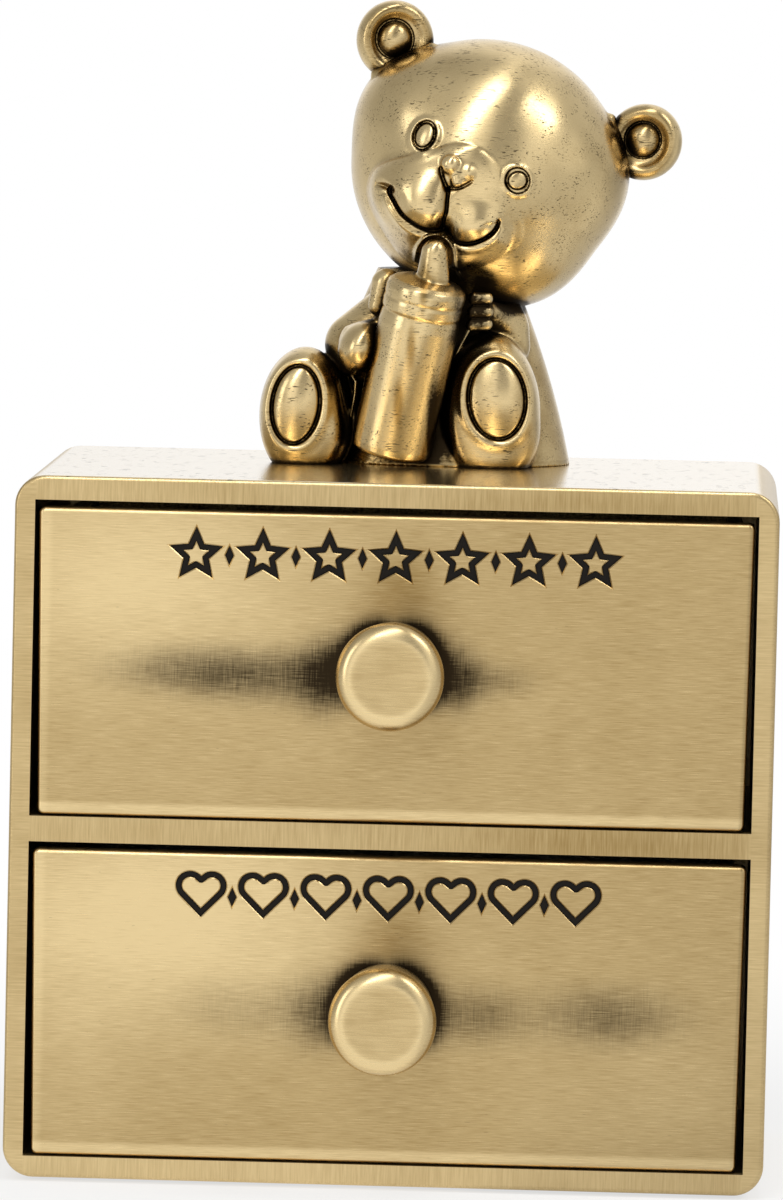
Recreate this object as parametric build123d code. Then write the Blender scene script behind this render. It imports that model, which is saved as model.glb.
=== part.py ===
"""A small baby tooth box: a cast metal case with two knobbed drawers and a teddy bear on its lid.

Millimetres. +X is to the right as you face the drawers, +Y goes to the back and +Z is up. The origin
is under the middle of the case, on the surface that the box stands on.
"""

import os
from math import cos, pi, sin

from build123d import *

# Case: one casting with a shelf between two bays
case_width = 58.0
case_depth = 40.0
case_corner_radius = 2.3
case_edge_radius = 0.35
side_wall = 1.55
top_wall = 1.85
shelf_thickness = 1.95
floor_thickness = 1.65
bay_height = 24.1

# Back panel, let into a rebate
back_panel_thickness = 1.2
back_rim = 0.75
panel_clearance = 0.08

# Felt under the case
felt_thickness = 0.8
felt_recess = 0.5
felt_margin = 2.4
felt_corner_radius = 1.2
felt_clearance = 0.15

# Drawer fronts, a little narrower at the foot: gaps to the case at each side
front_top_gap = 0.3
front_foot_gap = 0.6
front_thickness = 1.8
front_edge_radius = 0.4
front_corner_radius = 0.45
gap_under_drawer = 0.15
gap_over_front = 0.55

# Drawer trays
tray_side_gap = 1.15
tray_wall = 1.2
tray_floor = 1.2
tray_rim_below_front = 1.6
tray_corner_radius = 1.0
gap_behind_tray = 1.2

# Pegs on each front that hold it square to its tray
peg_radius = 1.1
peg_spacing = 34.0
peg_clearance = 0.06

# Fabric lining of the trays
lining_wall = 0.7
lining_floor = 0.8
lining_below_rim = 0.9
lining_clearance = 0.1
lining_corner_radius = 0.8

# Knobs
knob_front_radius = 4.15
knob_base_radius = 3.7
knob_length = 8.5
knob_edge_radius = 1.25
knob_hole_depth = 5.4

# Screws that hold the knobs
screw_radius = 1.25
screw_engagement = 4.6
screw_head_radius = 2.3
screw_head_height = 1.6
screw_slot_width = 0.6
screw_slot_depth = 0.7
screw_clearance = 0.12
thread_clearance = 0.05
washer_radius = 3.0
washer_thickness = 0.4
washer_window_clearance = 0.35

# Countersunk screws that hold the bear
bear_screw_spacing = 9.0
bear_screw_length = 6.4
bear_screw_head_radius = 2.3
bear_screw_sink = 0.1
bear_hole_spare_depth = 0.8

# Ornament sunk into the fronts: stars above, hearts below, with small diamonds between them
ornament_depth = 0.35
ornament_line = 0.62
ornament_below_top = 3.35
star_count = 7
star_pitch = 5.05
star_radius = 2.35
star_points = 5
star_waist_share = 0.47
heart_count = 7
heart_pitch = 4.75
heart_lobe_radius = 1.18
diamond_half_width = 0.42
diamond_half_height = 0.95

# Bear: where it sits on the lid, its height from seat to ear tip, and how its parts meet
bear_right = 1.0
bear_before_back = 10.4
bear_height = 36.4
bear_gap = 0.1
sole_back_share = -0.217
foot_length = 5.0
foot_edge_radius = 1.5
pad_thickness = 0.35
pad_rim = 1.25
spigot_radius = 2.0
spigot_length = 5.0

# Bear's torso: height, middle to the right, middle to the back, half width and half depth, as shares
torso_sections_shares = (
    (0.0, 0.034, 0.03, 0.286, 0.22),
    (0.1, 0.034, 0.03, 0.26, 0.197),
    (0.21, 0.034, 0.03, 0.223, 0.17),
    (0.32, 0.037, 0.03, 0.18, 0.143),
    (0.385, 0.045, 0.03, 0.13, 0.1),
)
torso_corner_share = 0.85

# Bear's rounded forms: middle (right, back, up) and radius, as shares of its height
belly_shares = ((-0.01, -0.075, 0.15), 0.15)
head_forms_shares = (
    ((0.123, -0.008, 0.636), 0.283),
    ((0.173, -0.016, 0.484), 0.144),
    ((0.294, -0.008, 0.629), 0.138),
    ((-0.002, -0.008, 0.742), 0.14),
)
muzzle_forms_shares = (
    ((0.0, -0.205, 0.58), 0.105),
    ((0.115, -0.205, 0.54), 0.1),
    ((0.065, -0.175, 0.5), 0.1),
)
nose_shares = ((0.07, -0.28, 0.637), 0.036)
eye_forms_shares = (
    ((-0.007, -0.267, 0.711), 0.03),
    ((0.196, -0.288, 0.62), 0.03),
)

# Bear's limbs: from, to and radius, as shares of its height
limb_shares = (
    ((-0.17, 0.02, 0.118), (-0.235, -0.13, 0.118), 0.117),
    ((0.14, 0.02, 0.126), (0.14, -0.1, 0.126), 0.125),
    ((-0.03, -0.02, 0.37), (-0.175, -0.085, 0.212), 0.066),
    ((-0.175, -0.085, 0.212), (-0.127, -0.2, 0.258), 0.055),
    ((0.165, -0.02, 0.315), (0.222, -0.085, 0.225), 0.062),
    ((0.222, -0.085, 0.225), (0.127, -0.185, 0.325), 0.052),
)

# Bear's feet: middle (right, up) and width and height of the sole, as shares, and turn in degrees
feet_shares = (
    ((-0.2625, 0.1265), (0.17, 0.25), -4),
    ((0.147, 0.1435), (0.208, 0.281), 8),
)

# Ears: where each stands, and how large its cup and the ball in it are, as shares of the bear's height
ear_shares = ((-0.081, -0.014, 0.911), (0.463, -0.014, 0.703))
ear_radius_share = 0.0824
ear_thickness_share = 0.099
ear_edge_share = 0.03
ear_hollow_share = 0.0412
ear_hollow_depth_share = 0.033
ear_ball_share = 0.0302

# Feeding bottle, from the middle of its base to the tip of its teat
bottle_base_shares = (-0.066, -0.195, 0.03)
bottle_tip_shares = (0.02, -0.28, 0.487)
bottle_foot_radius = 2.85
bottle_shoulder_radius = 3.05
bottle_edge_radius = 0.55
bottle_neck_radius = 2.7
collar_radius = 2.95
collar_edge_radius = 0.5
teat_base_radius = 1.65
teat_radius = 1.3
barrel_share = 0.6
neck_share = 0.64
collar_top_share = 0.8
teat_top_share = 0.93

# One overrun for all cuts that leave a face
overrun = 1.0

# Heights and depths that follow from these sizes
foot = felt_thickness - felt_recess
case_height = floor_thickness + shelf_thickness + top_wall + 2 * bay_height
case_top = foot + case_height
bay_width = case_width - 2 * side_wall
front_top_width = bay_width - 2 * front_top_gap
front_foot_width = bay_width - 2 * front_foot_gap
tray_width = bay_width - 2 * tray_side_gap
lower_bay_floor = foot + floor_thickness
upper_bay_floor = lower_bay_floor + bay_height + shelf_thickness
front_y = -case_depth / 2
back_y = case_depth / 2
panel_y = back_y - back_panel_thickness
bear_back = back_y - bear_before_back
front_back_y = front_y + front_thickness
front_height = bay_height - gap_under_drawer - gap_over_front
tray_height = front_height - tray_rim_below_front
tray_back_y = panel_y - gap_behind_tray
tray_length = tray_back_y - front_back_y
tray_face_y = front_back_y + tray_wall
side_to_middle = (Align.CENTER, Align.MIN, Align.MIN)
standing = (Align.CENTER, Align.CENTER, Align.MIN)

DRAWERS = {"upper": upper_bay_floor, "lower": lower_bay_floor}


def upright(shape, y):
    """A flat shape drawn as seen from the front, stood up at depth y."""
    return Pos(0, y, 0) * Rot(90, 0, 0) * shape


def sunk_from_front(shape, y, depth):
    """A flat shape seen from the front, given depth towards the back from y."""
    return upright(extrude(shape, amount=-depth), y)


def rod(radius, length, x, y, z):
    """A round rod that runs back along +Y from a point."""
    return Pos(x, y, z) * Rot(-90, 0, 0) * Cylinder(radius, length, align=standing)


def make_case():
    """The outer casting with its two bays, the rebate for the panel and the seat of the felt."""
    outline = RectangleRounded(case_width, case_height, case_corner_radius)
    case = sunk_from_front(Pos(0, foot + case_height / 2) * outline, front_y, case_depth)
    rims = case.faces().sort_by(Axis.Y)[0].edges() + case.faces().sort_by(Axis.Y)[-1].edges()
    case = fillet(rims, case_edge_radius)
    for bay_floor in DRAWERS.values():
        bay = Box(bay_width, case_depth + 2 * overrun, bay_height, align=side_to_middle)
        case -= Pos(0, front_y - overrun, bay_floor) * bay
    case -= panel_shape(0, overrun)
    case -= Pos(0, 0, foot - overrun) * felt_block(felt_clearance, felt_recess + overrun)
    for x in bear_screw_places():
        case -= bear_screw_body(x, screw_clearance)
    return case


def panel_shape(clearance, extra_depth):
    """The panel's outline inside the rim, from its seat to the back of the case."""
    width = case_width - 2 * back_rim - 2 * clearance
    height = case_height - 2 * back_rim - 2 * clearance
    outline = RectangleRounded(width, height, case_corner_radius - back_rim)
    depth = back_panel_thickness + extra_depth
    return sunk_from_front(Pos(0, foot + case_height / 2) * outline, panel_y, depth)


def felt_block(clearance, height):
    """The felt's outline, grown by a clearance."""
    width = case_width - 2 * felt_margin + 2 * clearance
    depth = case_depth - 2 * felt_margin + 2 * clearance
    return extrude(RectangleRounded(width, depth, felt_corner_radius), amount=height)


def front_outline():
    """The outline of a drawer front, with its middle over x = 0 and its foot on y = 0."""
    half_top = front_top_width / 2
    half_foot = front_foot_width / 2
    corners = [(-half_foot, 0), (half_foot, 0), (half_top, front_height), (-half_top, front_height)]
    plate = make_face(Polyline(*corners, close=True))
    return fillet(plate.vertices(), front_corner_radius)


def star(radius):
    """A star that stands on two of its points."""
    points = []
    for step in range(2 * star_points):
        reach = radius if step % 2 == 0 else radius * star_waist_share
        angle = pi / 2 + step * pi / star_points
        points.append((reach * cos(angle), reach * sin(angle)))
    return make_face(Polyline(*points, close=True))


def heart(lobe_radius):
    """A heart from a square on its corner and two round lobes."""
    side = 2 * lobe_radius
    lobe_place = lobe_radius * cos(pi / 4)
    point_down = Rectangle(side, side, rotation=45)
    lobes = [Pos(x, lobe_place) * Circle(lobe_radius) for x in (-lobe_place, lobe_place)]
    return point_down + lobes[0] + lobes[1]


def outline_band(shape):
    """The line that runs round the inside of a shape."""
    return shape - offset(shape, amount=-ornament_line)


def ornament(level):
    """The row of motifs of one drawer, about the middle of the row."""
    if level == "upper":
        motif, count, pitch = outline_band(star(star_radius)), star_count, star_pitch
    else:
        motif, count, pitch = outline_band(heart(heart_lobe_radius)), heart_count, heart_pitch
    diamond = make_face(
        Polyline(
            (-diamond_half_width, 0),
            (0, -diamond_half_height),
            (diamond_half_width, 0),
            (0, diamond_half_height),
            close=True,
        )
    )
    first = -pitch * (count - 1) / 2
    row = [Pos(first + pitch * step, 0) * motif for step in range(count)]
    row += [Pos(first + pitch * (step + 1 / 2), 0) * diamond for step in range(count - 1)]
    return Sketch() + row


def make_front(level, floor_z):
    """A drawer's front plate with its sunk ornament, its pegs and the hole for the knob's screw."""
    foot_z = floor_z + gap_under_drawer
    plate = sunk_from_front(Pos(0, foot_z) * front_outline(), front_y, front_thickness)
    plate = fillet(plate.faces().sort_by(Axis.Y)[0].edges(), front_edge_radius)
    row_z = foot_z + front_height - ornament_below_top
    row = Pos(0, row_z) * ornament(level)
    plate -= sunk_from_front(row, front_y - overrun, ornament_depth + overrun)
    for x in (-peg_spacing / 2, peg_spacing / 2):
        plate += rod(peg_radius, tray_wall, x, front_back_y, knob_height(floor_z))
    hole_length = front_thickness + 2 * overrun
    return plate - rod(
        screw_radius + screw_clearance, hole_length, 0, front_y - overrun, knob_height(floor_z)
    )


def knob_height(floor_z):
    """The height of a drawer's knob, in the middle of its front."""
    return floor_z + gap_under_drawer + front_height / 2


def make_tray(floor_z):
    """The open tray behind a drawer front."""
    place = Pos(0, front_back_y, floor_z + gap_under_drawer)
    tray = Box(tray_width, tray_length, tray_height, align=side_to_middle)
    tray = fillet(tray.edges().filter_by(Axis.Z).group_by(Axis.Y)[-1], tray_corner_radius)
    width, length = tray_width - 2 * tray_wall, tray_length - 2 * tray_wall
    inside = Box(width, length, tray_height, align=side_to_middle)
    tray = place * (tray - Pos(0, tray_wall, tray_floor) * inside)
    hole_places = (-peg_spacing / 2, peg_spacing / 2, 0)
    peg_hole_radius = peg_radius + peg_clearance
    hole_radii = (peg_hole_radius, peg_hole_radius, screw_radius + screw_clearance)
    for x, radius in zip(hole_places, hole_radii):
        length = tray_wall + 2 * overrun
        tray -= rod(radius, length, x, front_back_y - overrun, knob_height(floor_z))
    return tray


def make_lining(floor_z):
    """The fabric-covered insert of a tray, with a window for the screw's head."""
    width = tray_width - 2 * tray_wall - 2 * lining_clearance
    length = tray_length - 2 * tray_wall - 2 * lining_clearance
    height = tray_height - tray_floor - lining_below_rim
    lining = Box(width, length, height, align=side_to_middle)
    lining = fillet(lining.edges().filter_by(Axis.Z), lining_corner_radius)
    inside = Box(width - 2 * lining_wall, length - 2 * lining_wall, height, align=side_to_middle)
    lining -= Pos(0, lining_wall, lining_floor) * inside
    lining = Pos(0, tray_face_y + lining_clearance, floor_z + gap_under_drawer + tray_floor) * lining
    window_radius = washer_radius + washer_window_clearance
    window_length = lining_wall + lining_clearance + 2 * overrun
    window_y = tray_face_y - overrun
    return lining - rod(window_radius, window_length, 0, window_y, knob_height(floor_z))


def make_knob(floor_z):
    """A turned knob, wider at its face, with a blind threaded hole in its foot."""
    outline = Polyline(
        (0, 0),
        (knob_base_radius, 0),
        (knob_front_radius, knob_length),
        (0, knob_length),
        close=True,
    )
    knob = revolve(Plane.XZ * make_face(outline), Axis.Z)
    knob = fillet(knob.edges().sort_by(Axis.Z)[-1], knob_edge_radius)
    hole_radius = screw_radius + thread_clearance
    knob -= Cylinder(hole_radius, knob_hole_depth, align=standing)
    return Pos(0, front_y, knob_height(floor_z)) * Rot(90, 0, 0) * knob


def make_knob_screw(floor_z):
    """The slotted pan-head screw that draws knob, front and tray together."""
    head_y = tray_face_y + washer_thickness
    shank_length = head_y - front_y + screw_engagement
    z = knob_height(floor_z)
    screw = rod(screw_head_radius, screw_head_height, 0, head_y, z)
    screw += rod(screw_radius, shank_length, 0, head_y - shank_length, z)
    back_to_middle = (Align.CENTER, Align.MAX, Align.CENTER)
    slot = Box(2 * screw_head_radius, screw_slot_depth, screw_slot_width, align=back_to_middle)
    return screw - Pos(0, head_y + screw_head_height, z) * slot


def make_washer(floor_z):
    """The flat washer under the screw's head."""
    z = knob_height(floor_z)
    washer = rod(washer_radius, washer_thickness, 0, tray_face_y, z)
    hole_radius = screw_radius + screw_clearance
    return washer - rod(hole_radius, washer_thickness + 2 * overrun, 0, tray_face_y - overrun, z)


def bear_point(shares):
    """A place on the bear, from shares of its height, measured from the middle of its seat."""
    seat = Vector(bear_right, bear_back, case_top)
    return seat + Vector(*shares) * bear_height


def swelling(form_shares, grow=0.0):
    """A round form from its middle and radius, grown by a gap."""
    middle, radius_share = form_shares
    return Pos(bear_point(middle)) * Sphere(radius_share * bear_height + grow)


def limb(start_shares, end_shares, radius_share):
    """A round-ended length of arm between two places."""
    start, end = bear_point(start_shares), bear_point(end_shares)
    radius = radius_share * bear_height
    path = Plane(origin=start, z_dir=end - start)
    length = (end - start).length
    shaft = path * Cylinder(radius, length, align=standing)
    return Pos(start) * Sphere(radius) + shaft + Pos(end) * Sphere(radius)


def bear_screw_places():
    """Where the bear's screws stand, along the lid."""
    return (bear_right - bear_screw_spacing / 2, bear_right + bear_screw_spacing / 2)


def bear_screw_body(x, grow=0.0, slot=False):
    """A countersunk screw pointing up through the lid, grown all round by a clearance."""
    head_z = case_top - top_wall + bear_screw_sink
    head_radius = bear_screw_head_radius + grow
    shank_radius = screw_radius + grow
    head_height = bear_screw_head_radius - screw_radius
    screw = Cone(head_radius, shank_radius, head_height, align=standing)
    screw += Cylinder(shank_radius, bear_screw_length, align=standing)
    if slot:
        screw -= Box(2 * bear_screw_head_radius, screw_slot_width, screw_slot_depth, align=standing)
    else:
        reach = bear_screw_sink + overrun
        screw += Pos(0, 0, -reach) * Cylinder(head_radius, reach, align=standing)
    return Pos(x, bear_back, head_z) * screw


def make_bottle(grow=0.0):
    """The feeding bottle as one turned form, leaning to the bear's mouth."""
    base, tip = bear_point(bottle_base_shares), bear_point(bottle_tip_shares)
    length = (tip - base).length
    barrel_top = barrel_share * length
    neck_top = neck_share * length
    collar_top = collar_top_share * length
    teat_top = teat_top_share * length
    barrel = Polyline(
        (0, -grow),
        (bottle_foot_radius + grow, -grow),
        (bottle_shoulder_radius + grow, barrel_top),
        (bottle_neck_radius + grow, neck_top),
        (collar_radius + grow, neck_top),
        (collar_radius + grow, collar_top + grow),
        (teat_base_radius + grow, collar_top + grow),
        (teat_radius + grow, teat_top),
    )
    tip_place = (0, teat_top + teat_radius + grow)
    dome = RadiusArc(barrel @ 1, tip_place, -(teat_radius + grow))
    profile = make_face([*barrel.edges(), dome.edge(), Line(tip_place, (0, -grow)).edge()])
    bottle = revolve(Plane.XZ * profile, Axis.Z)
    if grow == 0:
        bottle = fillet(bottle.edges().sort_by(Axis.Z)[0], bottle_edge_radius)
        collar_edges = bottle.edges().filter_by(GeomType.CIRCLE).group_by(Axis.Z)[-2]
        bottle = fillet(collar_edges.sort_by(SortBy.RADIUS)[-1], collar_edge_radius)
    return Plane(origin=base, z_dir=tip - base) * bottle


def make_head(grow=0.0):
    """The bear's head with its muzzle, nose and eyes, and the spigot that enters the body."""
    forms = [*head_forms_shares, *muzzle_forms_shares]
    if grow == 0:
        forms += [nose_shares, *eye_forms_shares]
    head = Part() + [swelling(form, grow) for form in forms]
    middle, radius_share = head_forms_shares[0]
    place = bear_point(middle)
    depth = radius_share * bear_height + spigot_length
    spigot = Cylinder(spigot_radius + grow, depth + grow, align=(Align.CENTER, Align.CENTER, Align.MAX))
    return head + Pos(bear_right, place.Y, place.Z) * spigot


def make_ear(place_shares):
    """A cupped ear with a ball in its hollow, cut to the roundness of the head."""
    thickness, hollow_depth = ear_thickness_share * bear_height, ear_hollow_depth_share * bear_height
    outline = Cylinder(ear_radius_share * bear_height, thickness)
    ear = fillet(outline.edges(), ear_edge_share * bear_height)
    floor_of_hollow = Pos(0, 0, thickness / 2 - hollow_depth)
    ear -= floor_of_hollow * Cylinder(ear_hollow_share * bear_height, hollow_depth, align=standing)
    ear += floor_of_hollow * Sphere(ear_ball_share * bear_height)
    ear = Pos(bear_point(place_shares)) * Rot(90, 0, 0) * ear
    return ear - [swelling(form, bear_gap) for form in head_forms_shares]


def make_torso():
    """The bear's torso, lofted through rounded sections from its seat to its neck."""
    sections = []
    for up, right, back, half_width, half_depth in torso_sections_shares:
        width, depth = 2 * half_width * bear_height, 2 * half_depth * bear_height
        corner = torso_corner_share * depth / 2
        place = bear_point((right, back, up))
        sections.append(Pos(place) * RectangleRounded(width, depth, corner))
    return loft(sections)


def make_foot(form_shares):
    """A foot with a flat oval sole, seen from the front, and a raised pad on it."""
    (right, up), (width_share, height_share), turn = form_shares
    width, height = width_share * bear_height, height_share * bear_height
    place = bear_point((right, sole_back_share, up))
    foot_block = extrude(SlotOverall(height, width, rotation=90), amount=-foot_length)
    foot_block = fillet(foot_block.faces().sort_by(Axis.Z)[-1].edges(), foot_edge_radius)
    pad = SlotOverall(height - 2 * pad_rim - foot_edge_radius, width - 2 * pad_rim, rotation=90)
    foot_block += extrude(pad, amount=pad_thickness)
    return Pos(place) * Rot(90, 0, 0) * Rot(0, 0, turn) * foot_block


def make_bear_body():
    """The bear's seated body with arms and legs, cut away for head, bottle and screws."""
    limbs = [limb(*shares) for shares in limb_shares]
    feet = [make_foot(shares) for shares in feet_shares]
    body = make_torso() + [swelling(belly_shares), *limbs, *feet]
    hanging = (Align.CENTER, Align.CENTER, Align.MAX)
    below = Box(2 * bear_height, 2 * bear_height, bear_height, align=hanging)
    hole_depth = bear_screw_length - top_wall + bear_screw_sink + bear_hole_spare_depth
    hole = Cylinder(screw_radius + thread_clearance, hole_depth + overrun, align=standing)
    holes = [Pos(x, bear_back, case_top - overrun) * hole for x in bear_screw_places()]
    body -= [Pos(bear_right, bear_back, case_top) * below, *holes]
    return body - make_head(bear_gap) - make_bottle(bear_gap)


def build():
    """Every piece by its name."""
    pieces = {
        "case": make_case(),
        "back_panel": panel_shape(panel_clearance, 0),
        "base_felt": felt_block(0, felt_thickness),
        "bear_body": make_bear_body(),
        "bear_head": make_head() - make_bottle(bear_gap),
        "bear_left_ear": make_ear(ear_shares[0]),
        "bear_right_ear": make_ear(ear_shares[1]),
        "bear_bottle": make_bottle(),
        "bear_screws": Compound(children=[bear_screw_body(x, slot=True) for x in bear_screw_places()]),
    }
    for level, floor_z in DRAWERS.items():
        pieces[level + "_drawer_tray"] = make_tray(floor_z)
        pieces[level + "_drawer_front"] = make_front(level, floor_z)
        pieces[level + "_drawer_lining"] = make_lining(floor_z)
        pieces[level + "_knob"] = make_knob(floor_z)
        pieces[level + "_knob_screw"] = make_knob_screw(floor_z)
        pieces[level + "_knob_washer"] = make_washer(floor_z)
    return pieces


os.makedirs("parts", exist_ok=True)
for name, piece in build().items():
    export_step(piece, f"parts/{name}.step")
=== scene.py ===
"""Dresses the baby tooth box: an antique brass case, two knobbed drawers and a bear with its bottle.

The bear is sculpted from distance fields in millimetres: x to the right, y to the back, z up from the
lid. Lines on its face, paws and soles are drawn as seen from the front and pressed into the metal.
"""

import math

import bmesh
import bpy
import numpy as np
from mathutils import Matrix, Quaternion, Vector


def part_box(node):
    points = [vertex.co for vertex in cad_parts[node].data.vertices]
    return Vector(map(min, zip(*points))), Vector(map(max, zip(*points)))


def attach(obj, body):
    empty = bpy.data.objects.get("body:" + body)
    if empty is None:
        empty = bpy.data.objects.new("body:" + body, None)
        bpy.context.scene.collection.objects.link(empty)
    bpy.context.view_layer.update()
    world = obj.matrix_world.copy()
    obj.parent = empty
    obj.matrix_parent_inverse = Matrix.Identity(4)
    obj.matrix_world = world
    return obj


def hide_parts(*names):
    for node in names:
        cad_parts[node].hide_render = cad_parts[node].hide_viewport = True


bl_info = {
    "name": "Baby tooth box",
    "version": (1, 0, 0),
    "blender": (4, 5, 0),
    "location": "View3D > Sidebar > Tooth box",
    "description": "Builds and finishes a cast metal baby tooth box with a bear on its lid",
    "category": "Add Mesh",
}

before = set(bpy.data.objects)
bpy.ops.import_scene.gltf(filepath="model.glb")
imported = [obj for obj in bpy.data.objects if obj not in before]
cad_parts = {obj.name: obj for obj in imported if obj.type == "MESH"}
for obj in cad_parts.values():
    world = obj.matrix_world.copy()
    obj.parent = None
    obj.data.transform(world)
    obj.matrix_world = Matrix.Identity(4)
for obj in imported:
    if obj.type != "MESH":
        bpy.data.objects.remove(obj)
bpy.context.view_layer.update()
MM = 0.001
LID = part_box("case")[1].z / MM
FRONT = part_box("case")[0].y / MM
LEVELS = ("upper", "lower")


# ---------------- settings


# What the colours, the shares and the lengths among the settings have in common
COLOUR = {"subtype": "COLOR", "size": 4, "min": 0, "max": 1}
SHARE = {"subtype": "FACTOR", "min": 0, "max": 1}
STEP = {"unit": "LENGTH", "min": 0.03 * MM, "max": 1 * MM}


class ToothBoxFinish(bpy.types.PropertyGroup):
    """Colours and wear of the brass plate."""

    brass: bpy.props.FloatVectorProperty(
        name="Brass", description="Colour of the relieved plate", default=(0.84, 0.65, 0.34, 1), **COLOUR
    )
    deep_brass: bpy.props.FloatVectorProperty(
        name="Deep brass",
        description="Colour of the plate where less was rubbed off",
        default=(0.36, 0.235, 0.08, 1),
        **COLOUR,
    )
    # The dark colour, laid both as patina and as painted shade
    patina_and_shade: bpy.props.FloatVectorProperty(
        name="Patina", description="Colour of the dark patina", default=(0.03, 0.02, 0.01, 1), **COLOUR
    )
    roughness: bpy.props.FloatProperty(
        name="Roughness", description="Roughness of the brushed plate", default=0.3, **SHARE
    )
    lacquer: bpy.props.FloatProperty(
        name="Lacquer", description="How much clear lacquer lies over the plate", default=0.22, **SHARE
    )
    brush_depth: bpy.props.FloatProperty(
        name="Brush depth",
        description="Depth of the brushed lines",
        unit="LENGTH",
        default=0.004 * MM,
        min=0,
        max=0.1 * MM,
    )


class ToothBoxBear(bpy.types.PropertyGroup):
    """How finely the bear is sculpted."""

    head_step: bpy.props.FloatProperty(
        name="Head step", description="Spacing of the head's sculpting grid", default=0.195 * MM, **STEP
    )
    body_step: bpy.props.FloatProperty(
        name="Body step", description="Spacing of the body's sculpting grid", default=0.172 * MM, **STEP
    )
    ear_step: bpy.props.FloatProperty(
        name="Ear step", description="Spacing of the ear's sculpting grid", default=0.08 * MM, **STEP
    )


class ToothBoxDrawer(bpy.types.PropertyGroup):
    """Sizes and colours of what dresses the drawers."""

    lining: bpy.props.FloatVectorProperty(
        name="Lining", description="Colour of the velvet lining", default=(0.78, 0.7, 0.58, 1), **COLOUR
    )
    felt: bpy.props.FloatVectorProperty(
        name="Felt", description="Colour of the felt", default=(0.025, 0.025, 0.03, 1), **COLOUR
    )
    fill_depth: bpy.props.FloatProperty(
        name="Fill depth",
        description="How far the black fill lies below the face of a front",
        unit="LENGTH",
        default=0.17 * MM,
        min=0,
        max=0.35 * MM,
    )
    knob_dish: bpy.props.FloatProperty(
        name="Knob dish",
        description="How far the face of a knob is dished",
        unit="LENGTH",
        default=0.06 * MM,
        min=0,
        max=0.5 * MM,
    )


class ToothBoxStage(bpy.types.PropertyGroup):
    """Floor, light and camera."""

    floor_radius: bpy.props.FloatProperty(
        name="Floor radius", description="Radius of the floor", unit="LENGTH", default=1.6, min=0.3, max=10
    )
    surround: bpy.props.FloatProperty(
        name="Surround", description="Strength of the light from all round", default=0.9, min=0, max=2
    )
    lens: bpy.props.FloatProperty(
        name="Lens",
        description="Focal length in millimetres, for a sensor 36 mm on its long side",
        default=272.489,
        min=20,
        max=600,
    )


# ---------------- distance fields


TINY = 1e-6


def tilted(roll=0.0, yaw=0.0):
    """Axes of a form that is turned clockwise as seen from the front, then about the upright."""
    a, b = math.radians(roll), math.radians(yaw)
    across = np.array([[math.cos(a), 0, math.sin(a)], [0, 1, 0], [-math.sin(a), 0, math.cos(a)]])
    about = np.array([[math.cos(b), -math.sin(b), 0], [math.sin(b), math.cos(b), 0], [0, 0, 1]])
    return about @ across


def blend(a, b, width):
    """Joins two fields with a fillet."""
    h = np.clip(0.5 + 0.5 * (b - a) / width, 0, 1)
    return b + (a - b) * h - width * h * (1 - h)


def carve(a, b, width):
    """Takes the second field out of the first, with a soft edge."""
    return -blend(-a, b, width)


def round_field(q, half):
    """Field of an oval with the origin as its middle, and the share of its radius."""
    half = np.asarray(half)
    share = np.sqrt(((q / half) ** 2).sum(-1))
    slope = np.sqrt(((q / half**2) ** 2).sum(-1))
    return share * (share - 1) / np.maximum(slope, TINY), share


def oval(points, middle, half, axes=None):
    """Field of an ellipsoid."""
    q = points - np.asarray(middle)
    return round_field(q if axes is None else q @ axes, half)[0]


def flat_oval(drawn, middle, half, lean):
    """Signed distance to an ellipse in the drawing plane, and the share of its radius."""
    a = math.radians(lean)
    turn = np.array([[math.cos(a), math.sin(a)], [-math.sin(a), math.cos(a)]])
    return round_field((drawn - np.asarray(middle)) @ turn, half)


def taper(points, start, end, start_radius, end_radius):
    """Field of a round rod that changes its radius along its length."""
    start = np.asarray(start, float)
    run = np.asarray(end, float) - start
    share = np.clip((points - start) @ run / (run @ run), 0, 1)
    away = np.linalg.norm(points - start - share[..., None] * run, axis=-1)
    return away - (start_radius + (end_radius - start_radius) * share)


def smooth_line(points, closed=False, steps=6):
    """A smooth line through points in the drawing plane."""
    points = np.asarray(points, float)
    count = len(points)
    if closed:
        padded = np.vstack([points[-1], points, points[:2]])
    else:
        padded = np.vstack([2 * points[0] - points[1], points, 2 * points[-1] - points[-2]])
        count -= 1
    made = []
    for i in range(count):
        a, b, c, d = padded[i : i + 4]
        for t in np.arange(steps) / steps:
            bend = (2 * a - 5 * b + 4 * c - d) * t**2 + (3 * b - a - 3 * c + d) * t**3
            made.append(0.5 * (2 * b + (c - a) * t + bend))
    made.append(made[0] if closed else points[-1])
    return np.array(made)


def along(drawn, line):
    """Distance to a line in the drawing plane, and the share of the way along it."""
    best, share, run = np.full(len(drawn), 1e9), np.zeros(len(drawn)), 0.0
    lengths = np.linalg.norm(np.diff(line, axis=0), axis=1)
    for start, end, length in zip(line[:-1], line[1:], lengths):
        if length == 0:
            continue
        step = (end - start) / length
        t = np.clip((drawn - start) @ step, 0, length)
        away = np.linalg.norm(drawn - start - t[:, None] * step, axis=1)
        nearer = away < best
        best[nearer] = away[nearer]
        share[nearer] = (run + t[nearer]) / lengths.sum()
        run += length
    return best, share


def inside(drawn, line):
    """Distance to a closed line, positive inside it."""
    away, _ = along(drawn, line)
    within = np.zeros(len(drawn), bool)
    for (ax, ay), (bx, by) in zip(line[:-1], line[1:]):
        if ay != by:
            between = (drawn[:, 1] > min(ay, by)) & (drawn[:, 1] <= max(ay, by))
            within ^= between & (drawn[:, 0] < ax + (drawn[:, 1] - ay) * (bx - ax) / (by - ay))
    return np.where(within, away, -away)


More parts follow.
